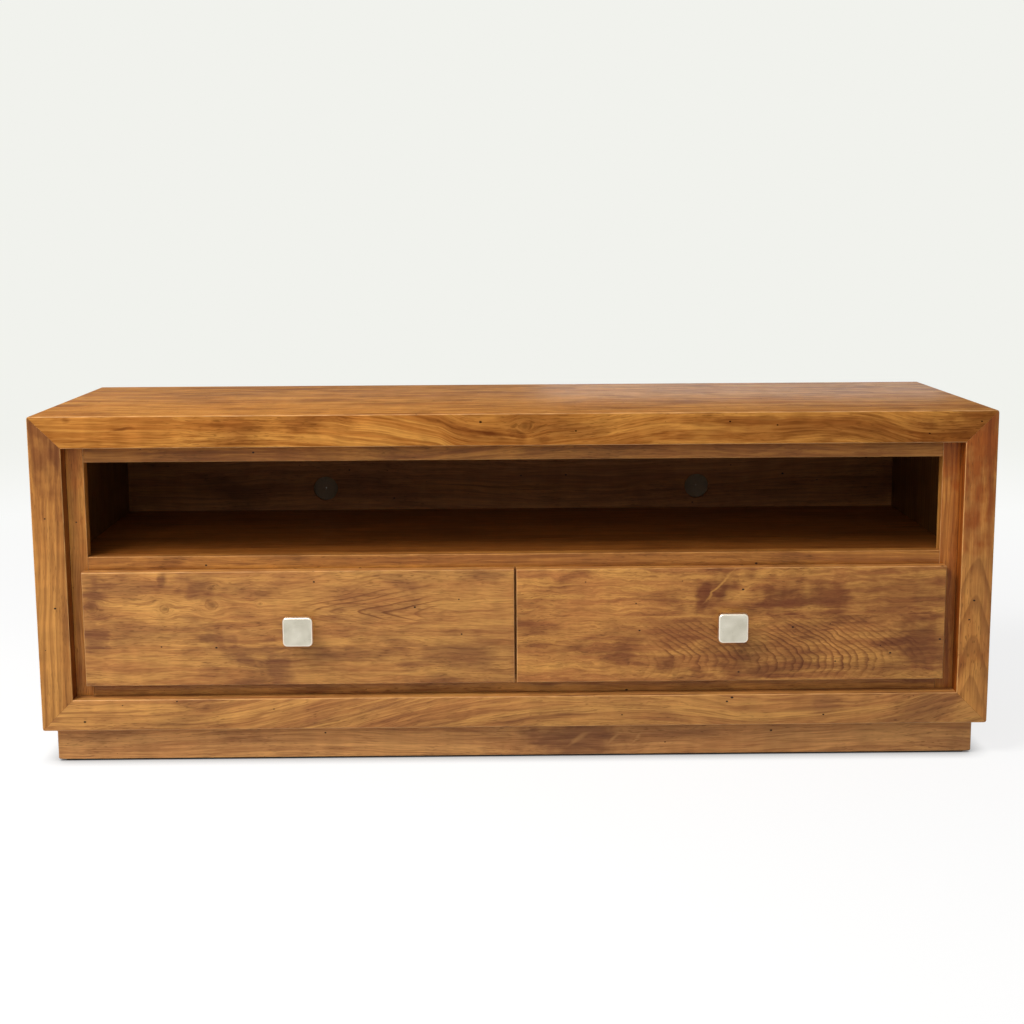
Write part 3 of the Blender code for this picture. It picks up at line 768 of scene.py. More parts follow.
        hue = self.palette
        layers = [(band, hue.mid), (thread, hue.late), (pale_vein, hue.light), (dark_vein, hue.late),
                  (line, hue.late), (shade, hue.stain)]
        for ray in self.rays:
            soft = add(tree, "ShaderNodeMapRange",
                       (self.oval(tree, loose, ray)[1], *self.RAY_EDGE, ray.depth, 0.0)).outputs[0]
            layers.append((soft, hue.light))
        # Rounded edges turn paler: partly wear, partly a painted highlight.
        layers += [(dash, hue.knot), *((heart, hue.knot) for heart in hearts), (wear_and_highlight, hue.wear_and_highlight),
                   (hole, hue.pore)]
        # Painted shade on the inner faces of the side boards.
        if self.painted_inner_shade:
            layers += self.shade_inner_faces(tree, xyz)
        filters = (hue.stain, *(self.painted_inner_shade or ()))
        colour = linear(hue.light)
        for share, code in layers:
            colour = add(tree, "ShaderNodeMix", {0: share, 6: colour, 7: linear(code)}, data_type="RGBA",
                         blend_type="MULTIPLY" if code in filters else "MIX").outputs[2]
        gleam = add(tree, "ShaderNodeMapRange",
                    (curl, *NOISE_RANGE, 1.0 - self.shimmer, 1.0 + self.shimmer)).outputs[0]
        colour = add(tree, "ShaderNodeVectorMath", {0: colour, "Scale": gleam}, operation="SCALE").outputs[0]

        height = add(tree, "ShaderNodeMath", (hole, self.HOLE_SINK, thread),
                     operation="MULTIPLY_ADD").outputs[0]
        return {"Base Color": colour, **self.textured(tree, fibre, height, self.roughness, self.BUMP),
                "Coat Weight": self.coat, "Coat Roughness": self.COAT_ROUGHNESS,
                "Specular IOR Level": self.specular}


@dataclass(frozen=True)
class BirchSheet(Finish):
    """Rotary-cut birch plywood, sanded and left bare; its fibres are drawn 2 mm wide so that they show."""

    face: str = "#d8bd92"
    figure: str = "#c5a473"
    figure_cell: Triple = (0.250, 0.0556, 0.0556)
    figure_octaves: float = 3.0
    fibre_cell: Triple = (0.0333, 0.002, 0.002)
    fibre_octaves: float = 2.0
    lean: float = 1.2
    shown: Point = (0.12, 0.40)
    roughness: Point = (0.50, 0.66)
    bump: Point = (0.3, 0.0001)

    def paint(self, tree: Tree) -> dict[str, Any]:
        """Add the wavy figure of peeled veneer and its fine fibres.

        Args:
            tree: The material's node tree.

        Returns:
            Source of the colour, roughness and relief.
        """
        where = add(tree, "ShaderNodeTexCoord").outputs["Object"]
        wave = self.spread(tree, where, self.figure_cell, self.figure_octaves, self.lean)[0]
        fibre = self.spread(tree, where, self.fibre_cell, self.fibre_octaves)[0]
        share = add(tree, "ShaderNodeMath", (wave, fibre), operation="MULTIPLY").outputs[0]
        share = add(tree, "ShaderNodeMapRange", (share, *self.shown, 0.0, 1.0)).outputs[0]
        colour = add(tree, "ShaderNodeMix", {0: share, 6: linear(self.face), 7: linear(self.figure)},
                     data_type="RGBA").outputs[2]
        return {"Base Color": colour, **self.textured(tree, fibre, fibre, self.roughness, self.bump)}


@dataclass(frozen=True)
class Metal(Finish):
    """Plated metal with a clouded tint; its fine scratches are drawn over 1 mm apart so that they show."""

    bright: str
    dull: str
    roughness: Point
    scratch: Triple
    cloud: float = 0.012
    clouded: Point = (0.35, 0.65)
    octaves: float = 2.0
    # Paler colour round the rim, a painted highlight.
    rim: str | None = None
    rim_highlight_turn: Point = (0.995, 0.93)
    bump: Point = (0.15, 0.00005)

    def paint(self, tree: Tree) -> dict[str, Any]:
        """Add clouding of the plating, the scratches of its polishing and a painted highlight round the rim.

        Args:
            tree: The material's node tree.

        Returns:
            Source of the colour, roughness and relief, for a metal.
        """
        where = add(tree, "ShaderNodeTexCoord").outputs
        lines, tint = (self.spread(tree, where["Object"], cell, self.octaves)[0]
                       for cell in (self.scratch, (self.cloud,) * 3))
        share = add(tree, "ShaderNodeMapRange", (tint, *self.clouded, 0.0, 1.0)).outputs[0]
        colour = add(tree, "ShaderNodeMix", {0: share, 6: linear(self.bright), 7: linear(self.dull)},
                     data_type="RGBA").outputs[2]
        # Painted highlight: a paler colour round the rim, where the face turns away from the front.
        if self.rim:
            facing = add(tree, "ShaderNodeVectorMath", (where["Normal"],), operation="ABSOLUTE").outputs[0]
            front = add(tree, "ShaderNodeSeparateXYZ", (facing,)).outputs[1]
            edge = add(tree, "ShaderNodeMapRange", (front, *self.rim_highlight_turn, 0.0, 1.0)).outputs[0]
            colour = add(tree, "ShaderNodeMix", {0: edge, 6: colour, 7: linear(self.rim)},
                         data_type="RGBA").outputs[2]
        return {"Base Color": colour, **self.textured(tree, lines, lines, self.roughness, self.bump),
                "Metallic": 1.0}


@dataclass(frozen=True)
class WoolFelt(Finish):
    """Needled wool felt: a matt mat of crossing hairs, drawn at 2 mm so that they show."""

    hair: str = "#3a332e"
    shade: str = "#1c1815"
    hair_spacing: float = 0.002
    octaves: float = 3.0
    curl: float = 1.5
    roughness: Point = (0.90, 1.0)
    bump: Point = (0.6, 0.0004)
    sheen: float = 0.25

    def paint(self, tree: Tree) -> dict[str, Any]:
        """Add the hairs and a soft sheen.

        Args:
            tree: The material's node tree.

        Returns:
            Source of the colour, roughness and relief, and the sheen.
        """
        where = add(tree, "ShaderNodeTexCoord").outputs["Object"]
        hairs = self.spread(tree, where, (self.hair_spacing,) * 3, self.octaves, self.curl)[0]
        colour = add(tree, "ShaderNodeMix", {0: hairs, 6: linear(self.shade), 7: linear(self.hair)},
                     data_type="RGBA").outputs[2]
        return {"Base Color": colour, **self.textured(tree, hairs, hairs, self.roughness, self.bump),
                "Sheen Weight": self.sheen}


# Honey stain under satin lacquer: tan early wood, brown late wood and purple-brown patches.
HONEY = Palette(
    light="#cc9854", mid="#b47c46", late="#82502c", stain="#a495a8", knot="#553017", wear_and_highlight="#e0b17a")
# The same stain on the top board, laid on thicker: more golden, and redder where it is dark.
AMBER = Palette(
    light="#ce944a", mid="#b57738", late="#7d461c", stain="#a58f96", knot="#532d12", wear_and_highlight="#e6bc8a")
# The same stain on the right drawer front, whose wood took it redder.
RUSSET = replace(HONEY, light="#cc9650", mid="#b27742", late="#7c4926", stain="#a38a90")
# The same stain on the left side board, a little deeper.
POST = Palette(
    light="#c68f4b", mid="#aa7238", late="#70421d", stain="#a58f92", knot="#50300f", wear_and_highlight="#dcae74")
# The same stain on the right side board, whose patches are red-brown.
EMBER = replace(POST, light="#d2964e", mid="#b67a40", late="#7a4822", stain="#c08a54")
# The stain of the top board on the stiles, with red-brown patches.
CORAL = replace(AMBER, stain="#c88a48")
# Filters that paint shade on the inner faces of the side boards: a mild one in the recess beside the frame,
# and a strong one on the walls of the bay.
INNER_SHADE_FILTERS = ("#c4a27b", "#898989")
# The same stain on the top and middle rails, darkened: painted shade where they sit back under and between
# the boards.
RAILS_IN_SHADE = Palette(
    light="#ba823f", mid="#9f6834", late="#74431e", stain="#a898a2", knot="#50300f", wear_and_highlight="#d6a66a")
# The same stain on the boards of the base, which stay in shade and have gone duller.
BASE = Palette(
    light="#d09c5f", mid="#b9834f", late="#8d5c36", stain="#ae9fa8", knot="#57341a", wear_and_highlight="#d0a06a")
# The honey stain darkened, to paint the shade inside the open bay, where the boards are only seen in shadow.
SHADE = Palette(
    light="#b07a48", mid="#96633c", late="#7a4f2d", stain="#b4a8ac", knot="#4c2e18", wear_and_highlight="#a5703f",
    pore="#1d1009")
# Honey stain darkened, to paint the shade on the shelf inside the bay; also the dark filler in the mitres.
DEEP_HONEY_AND_SHELF_SHADE = Palette(
    light="#935b25", mid="#7a481d", late="#5a3112", stain="#b4a6a8", knot="#3c2010", wear_and_highlight="#a87038",
    pore="#1d1009")
# Bare pine of the drawer boxes: straw with tan late wood and hardly any patches.
BARE = Palette(
    light="#dcb987", mid="#cfa772", late="#b98a53", stain="#e2d6c6", knot="#8a5f36", wear_and_highlight="#e3c59a",
    pore="#6b4a2c")

# Knobs: a warm white glow without clear reflections, with a painted highlight round the rim.
NICKEL = Metal("satin_nickel_brushed", bright="#d9d3c3", dull="#c0baa9", roughness=(0.27, 0.33),
               scratch=(0.012, 0.0012, 0.0012), cloud=0.030, rim="#f0e8da")
# Slides and screws: cool grey with long streaks from the rolling mill.
ZINC = Metal("zinc_plated_steel_rolled", bright="#c3c7ca", dull="#a5aab0", roughness=(0.30, 0.46),
             scratch=(0.0016, 0.030, 0.0016))
# Strips under the base: nearly black, without gloss.
FELT = WoolFelt("wool_felt_needled")
# Flaps behind the cable holes: felt discs that stand in for the shade seen through the holes, dim grey-brown
# in the dark of the bay.
SHADE_FLAP = WoolFelt("wool_felt_painted_shade", hair="#a69b86", shade="#706a5c")
# Drawer bottoms: pale, with broad soft figure and short fibres.
SHEET = BirchSheet("birch_plywood_sanded")


def merged(node: str) -> bpy.types.Mesh:
    """Copy a CAD node's mesh with its loose triangles welded into whole faces.

    Args:
        node: Name of the CAD node.

    Returns:
        A new smooth-shaded mesh in the same place.
    """
    bm = bmesh.new()
    bm.from_mesh(frame["nodes"][node].data)
    bmesh.ops.remove_doubles(bm, verts=bm.verts, dist=WELD)
    bmesh.ops.dissolve_limit(bm, angle_limit=FLAT_ANGLE, verts=bm.verts, edges=bm.edges)
    mesh = bpy.data.meshes.new(f"{node}_finished")
    bm.to_mesh(mesh)
    bm.free()
    for name in ("custom_normal", "sharp_edge", "sharp_face"):
        if name in mesh.attributes:
            mesh.attributes.remove(mesh.attributes[name])
    mesh.shade_smooth()
    return mesh


def placed(name: str, data: bpy.types.ID) -> bpy.types.Object:
    """Put a mesh, a camera or a lamp in the scene, at the origin.

    Args:
        name: Name of the object.
        data: What the object shows.

    Returns:
        The new object.
    """
    obj = bpy.data.objects.new(name, data)
    bpy.context.scene.collection.objects.link(obj)
    return obj


def piece(name: str, mesh: bpy.types.Mesh, body: str, finish: Finish, slot: Slot,
          *nodes: str) -> bpy.types.Object:
    """Make a finished piece that rides on a body and stands for CAD nodes.

    Args:
        name: Name of the piece.
        mesh: Its mesh, in place.
        body: CAD body that carries it.
        finish: Finish that it wears.
        slot: Material slot of the record; not used.
        *nodes: CAD nodes that it stands for.

    Returns:
        The new object.
    """
    obj = placed(name, mesh)
    mesh.materials.clear()
    mesh.materials.append(finish.material())
    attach(obj, body)
    if nodes:
        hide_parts(*nodes)
    log.info("%s rides on %s in %s", name, body, finish.name)
    return obj


def dress(node: str, body: str, finish: Finish, slot: Slot, ease: float) -> None:
    """Replace a CAD node by a copy with eased edges and a finish.

    Args:
        node: Name of the CAD node.
        body: CAD body that carries it.
        finish: Finish that it wears.
        slot: Material slot of the record.
        ease: Width of the rounding on its sharp edges.
    """
    obj = piece(f"{node}_finished", merged(node), body, finish, slot, node)
    bevel = obj.modifiers.new("eased_edges", "BEVEL")
    bevel.width = ease
    bevel.segments = EASE_STEPS
    bevel.limit_method = "ANGLE"
    bevel.angle_limit = CREASE_ANGLE
    bevel.harden_normals = True


def coat_node(node: str, finish: Finish) -> None:
    """Give a CAD node, kept as it is, a finish.

    Args:
        node: Name of the CAD node.
        finish: Finish that it wears.
    """
    mesh = frame["nodes"][node].data
    mesh.materials.clear()
    mesh.materials.append(finish.material())
    log.info("%s keeps its shape in %s", node, finish.name)


def loft(name: str, *solids: list[list[Triple]]) -> bpy.types.Mesh:
    """Skin closed solids over loops of equal length, capped at both ends.

    Args:
        name: Name of the mesh.
        *solids: For each solid its rings of points, from one end to the other.

    Returns:
        A mesh whose faces point outwards, with creases kept.
    """
    bm = bmesh.new()
    for loops in solids:
        rows = [[bm.verts.new(p) for p in loop] for loop in loops]
        for near, far in zip(rows, rows[1:]):
            for i in range(len(near)):
                j = (i + 1) % len(near)
                bm.faces.new((near[i], near[j], far[j], far[i]))
        bm.faces.new(rows[0])
        bm.faces.new(rows[-1])
    bmesh.ops.recalc_face_normals(bm, faces=bm.faces)
    mesh = bpy.data.meshes.new(name)
    bm.to_mesh(mesh)
    bm.free()
    mesh.shade_smooth()
    mesh.set_sharp_from_angle(angle=CREASE_ANGLE)
    return mesh


class Assembly(ABC):
    """A group of pieces that is made and dressed together."""

    @abstractmethod
    def build(self) -> None:
        """Make and dress every piece of the group."""


@dataclass
class ScrewSet(Assembly):
    """Pan-head screws of one body, set out by Geometry Nodes."""

    body: str
    head_radius: float = 0.0038
    head_height: float = 0.0020
    recess: float = 0.0011
    sides: int = 20
    seed: int = 7
    places: list[tuple[Triple, Triple]] = field(default_factory=list)

    # Outline of the head as shares of its radius and height; half length and half width of the cross recess
    # as shares of its radius.
    PROFILE = ((1.0, 0.0), (1.0, 0.35), (0.92, 0.66), (0.72, 0.90), (0.45, 0.98), (0.42, 1.0))
    CROSS = (0.60, 0.17)

    def put(self, place: Triple, turn: Triple) -> None:
        """Note one screw: where its head sits, and the turn that points its axis outwards."""
        self.places.append((place, turn))

    def ring(self, radius: float, height: float) -> list[Triple]:
        """One level loop of the head, of a given radius at a given height."""
        angles = (2 * math.pi * i / self.sides for i in range(self.sides))
        return [(radius * math.cos(a), radius * math.sin(a), height) for a in angles]

    def head(self) -> bpy.types.Object:
        """Make one head with a cross recess, standing on the origin.

        Returns:
            A loose object that the node tree copies.
        """
        top = self.head_height
        loops = [self.ring(self.head_radius * r, top * h) for r, h in self.PROFILE]
        obj = placed("screw_head", loft("screw_head", loops))
        cutters = []
        for long, wide in (self.CROSS, self.CROSS[::-1]):
            size = Vector((2 * long * self.head_radius, 2 * wide * self.head_radius, 2 * self.recess))
            bm = bmesh.new()
            bmesh.ops.create_cube(bm, size=1.0)
            bmesh.ops.transform(bm, verts=bm.verts,
                                matrix=Matrix.LocRotScale(Vector((0.0, 0.0, top)), None, size))
            cut = bpy.data.meshes.new("screw_recess")
            bm.to_mesh(cut)
            bm.free()
            cutter = placed("screw_recess", cut)
            boolean = obj.modifiers.new("recess", "BOOLEAN")
            boolean.object = cutter
            boolean.operation = "DIFFERENCE"
            cutters.append(cutter)
        shaped = bpy.data.meshes.new_from_object(obj.evaluated_get(bpy.context.evaluated_depsgraph_get()))
        obj.modifiers.clear()
        obj.data = shaped
        for cutter in cutters:
            bpy.data.objects.remove(cutter)
        return obj

    def tree(self) -> Tree:
        """Build the node tree that sets a head on each point, each at its own turn.

        Returns:
            A tree with the inputs Geometry, Head, Finish, Turn and Seed.
        """
        tree = bpy.data.node_groups.new(f"screws_of_{self.body}", "GeometryNodeTree")
        for name, kind in (("Geometry", "Geometry"), ("Head", "Object"), ("Finish", "Material"),
                           ("Turn", "Float"), ("Seed", "Int")):
            tree.interface.new_socket(name, in_out="INPUT", socket_type=f"NodeSocket{kind}")
        tree.interface.new_socket("Geometry", in_out="OUTPUT", socket_type="NodeSocketGeometry")
        given = add(tree, "NodeGroupInput").outputs
        head = add(tree, "GeometryNodeObjectInfo", {"Object": given["Head"]})
        facing = add(tree, "GeometryNodeInputNamedAttribute", {"Name": "facing"}, data_type="FLOAT_VECTOR")
        aimed = add(tree, "FunctionNodeEulerToRotation", (facing.outputs[0],))
        copies = add(tree, "GeometryNodeInstanceOnPoints",
                     {"Points": given["Geometry"], "Instance": head.outputs["Geometry"],
                      "Rotation": aimed.outputs[0]})
        spin = add(tree, "FunctionNodeRandomValue", {2: 0.0, 3: given["Turn"], "Seed": given["Seed"]},
                   data_type="FLOAT")
        twist = add(tree, "ShaderNodeCombineXYZ", {2: spin.outputs[1]})
        turned = add(tree, "GeometryNodeRotateInstances",
                     {"Instances": copies.outputs[0], "Rotation": twist.outputs[0], "Local Space": True})
        real = add(tree, "GeometryNodeRealizeInstances", (turned.outputs[0],))
        dressed = add(tree, "GeometryNodeSetMaterial",
                      {"Geometry": real.outputs[0], "Material": given["Finish"]})
        add(tree, "NodeGroupOutput", (dressed.outputs[0],))
        return tree

    def build(self) -> None:
        """Set out the screws and keep the result as one plain mesh."""
        head = self.head()
        tree = self.tree()
        points = bpy.data.meshes.new(f"{self.body}_screw_places")
        points.from_pydata([place for place, _ in self.places], [], [])
        facing = points.attributes.new("facing", "FLOAT_VECTOR", "POINT")
        facing.data.foreach_set("vector", [c for _, turn in self.places for c in turn])
        holder = placed(f"{self.body}_screw_places", points)
        modifier = holder.modifiers.new("screws", "NODES")
        modifier.node_group = tree
        sockets = {s.name: s.identifier for s in tree.interface.items_tree if s.in_out == "INPUT"}
        for name, value in (("Head", head), ("Finish", ZINC.material()), ("Turn", QUARTER_TURN),
                            ("Seed", self.seed)):
            modifier[sockets[name]] = value
        bpy.context.view_layer.update()
        mesh = bpy.data.meshes.new_from_object(holder.evaluated_get(bpy.context.evaluated_depsgraph_get()))
        holder.modifiers.clear()
        bpy.data.objects.remove(holder)
        bpy.data.objects.remove(head)
        piece(f"{self.body}_screws", mesh, self.body, ZINC, Slot.ZINC)


@dataclass
class Case(Assembly):
    """Four thick boards mitred at the corners, with a spline and a hairline of filler in each mitre."""

    body: str = "cabinet"
    ease: float = 0.00005
    # Golden, with grain that dips past a knot at the middle of the front edge, between brown flames.
    top: Pine = Pine(
        "pine_top_board_lacquered", Grain.WIDE, AMBER, seed=1.3, pith=(0.25, 0.10), specular=0.003, coat=0.0,
        roughness=(0.34, 0.50),
        course=((-0.75, 0.0), (-0.45, 0.008), (-0.33, 0.006), (-0.25, -0.004), (-0.12, -0.026),
                (-0.02, -0.050), (0.06, -0.048), (0.25, -0.022), (0.32, -0.018), (0.50, -0.020),
                (0.66, -0.050), (0.75, -0.052)),
        knots=(Knot(0.016, 0.536, 0.007),),
        patches=(Patch(-0.042, 0.528, 0.035, 0.008, 0.90, -0.15),
                 Patch(0.005, 0.524, 0.016, 0.010, 0.90, -0.5),
                 Patch(-0.070, 0.534, 0.060, 0.014, 0.45), Patch(0.045, 0.515, 0.020, 0.006, 0.70),
                 # The long patch right of the middle is partly stain and partly painted shade: it darkens the
                 # front edge towards the right, away from the key lamp.
                 Patch(0.645, 0.534, 0.026, 0.012, 0.85, -0.2), Patch(0.52, 0.526, 0.30, 0.024, 0.55),
                 Patch(-0.610, 0.532, 0.022, 0.003, 0.75), Patch(-0.690, 0.549, 0.008, 0.004, 0.70),
                 Patch(0.730, 0.530, 0.080, 0.050, 0.70), Patch(-0.740, 0.530, 0.045, 0.050, 0.40)))
    # Honey brown, with grain that climbs towards the right end.
    bottom: Pine = Pine(
        "pine_bottom_board_lacquered", Grain.WIDE, HONEY, seed=4.6, pith=(-0.20, 0.12), ring_depth=0.35,
        course=((-0.75, 0.0), (-0.55, 0.006), (-0.43, 0.020), (-0.02, 0.100), (0.05, 0.106), (0.25, 0.104),
                (0.38, 0.094), (0.55, 0.100), (0.70, 0.130), (0.75, 0.138)),
        patches=(Patch(0.077, 0.079, 0.050, 0.010, 0.45), Patch(0.487, 0.084, 0.030, 0.020, 0.50)))
    # Brown with broad rings, darker at the top of its front edge and paler lower down.
    left: Pine = Pine(
        "pine_left_side_lacquered", Grain.TALL, POST, seed=7.1, pith=(0.0, 0.10), wander=0.070,
        ring_spacing=0.010, ring_depth=0.60, vigour=0.60, painted_inner_shade=INNER_SHADE_FILTERS,
        patches=(Patch(0.560, -0.725, 0.110, 0.060, 0.90),), rays=(Patch(0.200, -0.725, 0.140, 0.022, 0.30),))
    # Red-brown in the upper half of its front edge, with arched rings below.
    right: Pine = Pine(
        "pine_right_side_lacquered", Grain.TALL, EMBER, seed=8.4, pith=(0.728, -0.250), wander=0.030,
        sway=0.010, ring_spacing=0.014, ring_depth=0.60, vigour=0.60, painted_inner_shade=INNER_SHADE_FILTERS,
        arches=Arches(0.07, 0.335, 0.062), figures=(Patch(0.200, 0.728, 0.170, 0.040, 0.80),),
        patches=(Patch(0.560, 0.725, 0.210, 0.060, 0.85),))
    # Pale and matt, hidden in the mitres.
    splines: Pine = Pine("pine_splines_sawn", Grain.WIDE, BARE, seed=2.2, pith=(0.1, 0.1), coat=0.0)
    # A dark brown hairline.
    filler: Pine = Pine("pine_dust_filler_stained", Grain.DEEP, DEEP_HONEY_AND_SHELF_SHADE, seed=3.1, pith=(0.1, 0.1),
                        coat=0.0)
    filler_thickness: float = 0.0004
    filler_inset: float = 0.0002
    corner_round: float = 0.004

    def build(self) -> None:
        """Dress the boards, coat the splines and fill the mitres."""
        for side, finish in (("top", self.top), ("bottom", self.bottom), ("left", self.left),
                             ("right", self.right)):
            dress(f"{side}_panel", self.body, finish, Slot.STAINED, self.ease)
        for level in ("top", "bottom"):
            for side in ("left", "right"):
                coat_node(f"{level}_{side}_spline", self.splines)
        piece("case_mitre_filler", self.mitres(), self.body, self.filler, Slot.STAINED)

    def mitres(self) -> bpy.types.Mesh:
        """Fill the hairline in each mitre, a little behind every face, so that no light shows through.

        Returns:
            Four thin slabs from the outer to the inner corners of the case.
        """
        slabs = []
        rounding = self.corner_round * (math.sqrt(2) - 1)
        for level, up in (("top", 1), ("bottom", -1)):
            low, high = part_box(f"{level}_panel")
            edge = high.z if up > 0 else low.z
            thick = high.z - low.z
            for side, out in (("left", -1), ("right", 1)):
                along = Vector((-out, -up)).normalized()
                half = Vector((along.y, -along.x)) * (self.filler_thickness / 2)
                corner = Vector((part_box(f"{side}_panel")[out > 0].x, edge))
                near = corner + along * (rounding + self.filler_inset)
                far = corner + along * (thick * math.sqrt(2) - self.filler_inset)
                section = [near + half, near - half, far - half, far + half]
                slabs.append([[(p.x, y, p.y) for p in section]
                              for y in (low.y + self.filler_inset, high.y - self.filler_inset)])
        return loft("case_mitre_filler", *slabs)


@dataclass
class FaceFrame(Assembly):
    """Stiles, rails and mullion set back inside the case."""

    body: str = "cabinet"
    ease: float = 0.0006
    # Dim brown bars above and below the bay; their dimness is painted shade.
    rails: Pine = Pine("pine_rails_lacquered", Grain.WIDE, RAILS_IN_SHADE, seed=10.4, pith=(0.10, 0.02))
    # Honey brown, in the shade under the drawers.
    foot: Pine = Pine("pine_foot_rail_lacquered", Grain.WIDE, HONEY, seed=11.7, pith=(0.10, 0.02))
    # Golden, with red-brown patches that are fullest on the right.
    stiles: Pine = Pine(
        "pine_stiles_lacquered", Grain.TALL, CORAL, seed=12.9, pith=(0.2, 0.05), vigour=0.75,
        patches=(Patch(0.320, 0.682, 0.300, 0.060, 0.45), Patch(0.500, 0.682, 0.100, 0.060, 0.75),
                 Patch(0.500, -0.682, 0.070, 0.060, 0.40)))

    def build(self) -> None:
        """Dress the rails and stiles."""
        for level, finish in (("top", self.rails), ("middle", self.rails), ("bottom", self.foot)):
            dress(f"{level}_rail", self.body, finish, Slot.STAINED, self.ease)
        for node in ("left_stile", "right_stile", "mullion"):
            dress(node, self.body, self.stiles, Slot.STAINED, self.ease)


@dataclass
class Bay(Assembly):
    """Shelf, back board with cable holes, and the partition and packers under the shelf."""

    body: str = "cabinet"
    ease: float = 0.0005
    housing: float = 0.010
    screw_inset: float = 0.014
    screws_wide: int = 9
    screws_tall: int = 3
    flap_radius: float = 0.029
    flap_thickness: float = 0.0008
    flap_gap: float = 0.0001
    flap_slit: float = 0.0004
    flap_steps: int = 14
    # Deep brown under a soft gloss; the depth of the brown is painted shade.
    shelf: Pine = Pine("pine_shelf_lacquered", Grain.FLAT, DEEP_HONEY_AND_SHELF_SHADE, seed=15.2, pith=(0.02, 0.05))
    # Dark and matt, its grain hardly seen; the darkness is painted shade.
    back: Pine = Pine("pine_back_board_painted_shade", Grain.WIDE, SHADE, seed=17.8, pith=(0.10, 0.05),
                      coat=0.0, specular=0.2, roughness=(0.5, 0.66))
    # Pale and matt, seen past an open drawer.
    hidden: Pine = Pine("pine_packers_sawn", Grain.DEEP, BARE, seed=19.5, pith=(0.1, 0.1), coat=0.0)

    def build(self) -> None:
        """Dress the shelf and the back board, coat what they hide and hang the flaps."""
        dress("shelf", self.body, self.shelf, Slot.STAINED, self.ease)
        dress("back_panel", self.body, self.back, Slot.STAINED, self.ease)
        for node in ("partition", "left_packer", "right_packer"):
            coat_node(node, self.hidden)
        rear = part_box("back_panel")[1].y
        for opening in frame["record"]["physics"]["openings"]:
            if "cable_hole" in opening["name"]:
                low, high = opening["box_m"]
                centre = ((low[0] + high[0]) / 2, (low[2] + high[2]) / 2)
                piece(opening["name"].replace("hole", "flap"), self.flap(centre, rear), self.body, SHADE_FLAP,
                      Slot.FELT)

    def flap(self, centre: Point, rear: float) -> bpy.types.Mesh:
        """Cut two slit felt discs for behind a cable hole, standing in for the shade seen through it: leads
        push through, light doesn't.

        Args:
            centre: Middle of the hole, as x and z.
            rear: Rear face of the back board.

        Returns:
            Eight leaves, four in each disc, the second disc turned by half a leaf.
        """
        leaves = []
        shift = self.flap_slit / math.sqrt(2)
        trim = self.flap_slit / 2 / self.flap_radius
        for layer in range(2):
            near = rear + layer * (self.flap_thickness + self.flap_gap)
            for quarter in range(4):
                start = QUARTER_TURN * quarter + QUARTER_TURN / 2 * layer
                middle = start + QUARTER_TURN / 2
                tip = (centre[0] + shift * math.cos(middle), centre[1] + shift * math.sin(middle))
                sweep = [start + trim + (QUARTER_TURN - 2 * trim) * i / self.flap_steps
                         for i in range(self.flap_steps + 1)]
                outline = [tip] + [(centre[0] + self.flap_radius * math.cos(a),
                                    centre[1] + self.flap_radius * math.sin(a)) for a in sweep]
                leaves.append([[(x, y, z) for x, z in outline] for y in (near, near + self.flap_thickness)])
        return loft("cable_flap", *leaves)

    def screws(self, screws: ScrewSet) -> None:
        """Note the screws round the edge of the back board, with their heads to the rear.

        Args:
            screws: Screws of the cabinet.
        """
        low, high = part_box("back_panel")
        inset = self.housing + self.screw_inset
        left, right = low.x + inset, high.x - inset
        under, over = low.z + inset, high.z - inset
        for i in range(self.screws_wide):
            x = left + (right - left) * i / (self.screws_wide - 1)
            for z in (under, over):
                screws.put((x, high.y, z), REARWARD)
        for i in range(1, self.screws_tall):
            z = under + (over - under) * i / self.screws_tall
            for x in (left, right):
                screws.put((x, high.y, z), REARWARD)


@dataclass
class Plinth(Assembly):
    """Recessed base: four boards, corner blocks, a brace and felt strips."""

    body: str = "cabinet"
    ease: float = 0.0006
    # Dull brown, with one dark patch right of the middle and pale rays across it.
    front: Pine = Pine(
        "pine_base_front_lacquered", Grain.WIDE, BASE, seed=22.7, pith=(-0.20, 0.10), ring_depth=0.3,
        patches=(Patch(0.092, 0.028, 0.082, 0.070, 0.85),),
        rays=(Patch(0.100, 0.029, 0.026, 0.0040, 0.40, 0.56), Patch(0.157, 0.030, 0.016, 0.0036, 0.40, 0.75),
              Patch(0.193, 0.030, 0.014, 0.0032, 0.35, 0.80)))
    # Dull brown and plain.
    ends: Pine = Pine("pine_base_ends_lacquered", Grain.DEEP, BASE, seed=24.1, pith=(-0.10, 0.10))
    # Pale and matt, seen only from below.
    blocks: Pine = Pine("pine_base_blocks_sawn", Grain.TALL, BARE, seed=26.6, pith=(0.1, 0.1), coat=0.0)

    def build(self) -> None:
        """Dress the boards and the felt, and coat the blocks and the brace."""
        for end, finish in (("front", self.front), ("back", self.front), ("left", self.ends),
                            ("right", self.ends)):
            dress(f"plinth_{end}", self.body, finish, Slot.PLINTH, self.ease)
        coat_node("plinth_brace", self.ends)
        for end in ("front", "back"):
            for side in ("left", "right"):
                coat_node(f"plinth_block_{end}_{side}", self.blocks)
            dress(f"{end}_felt", self.body, FELT, Slot.FELT, self.ease)


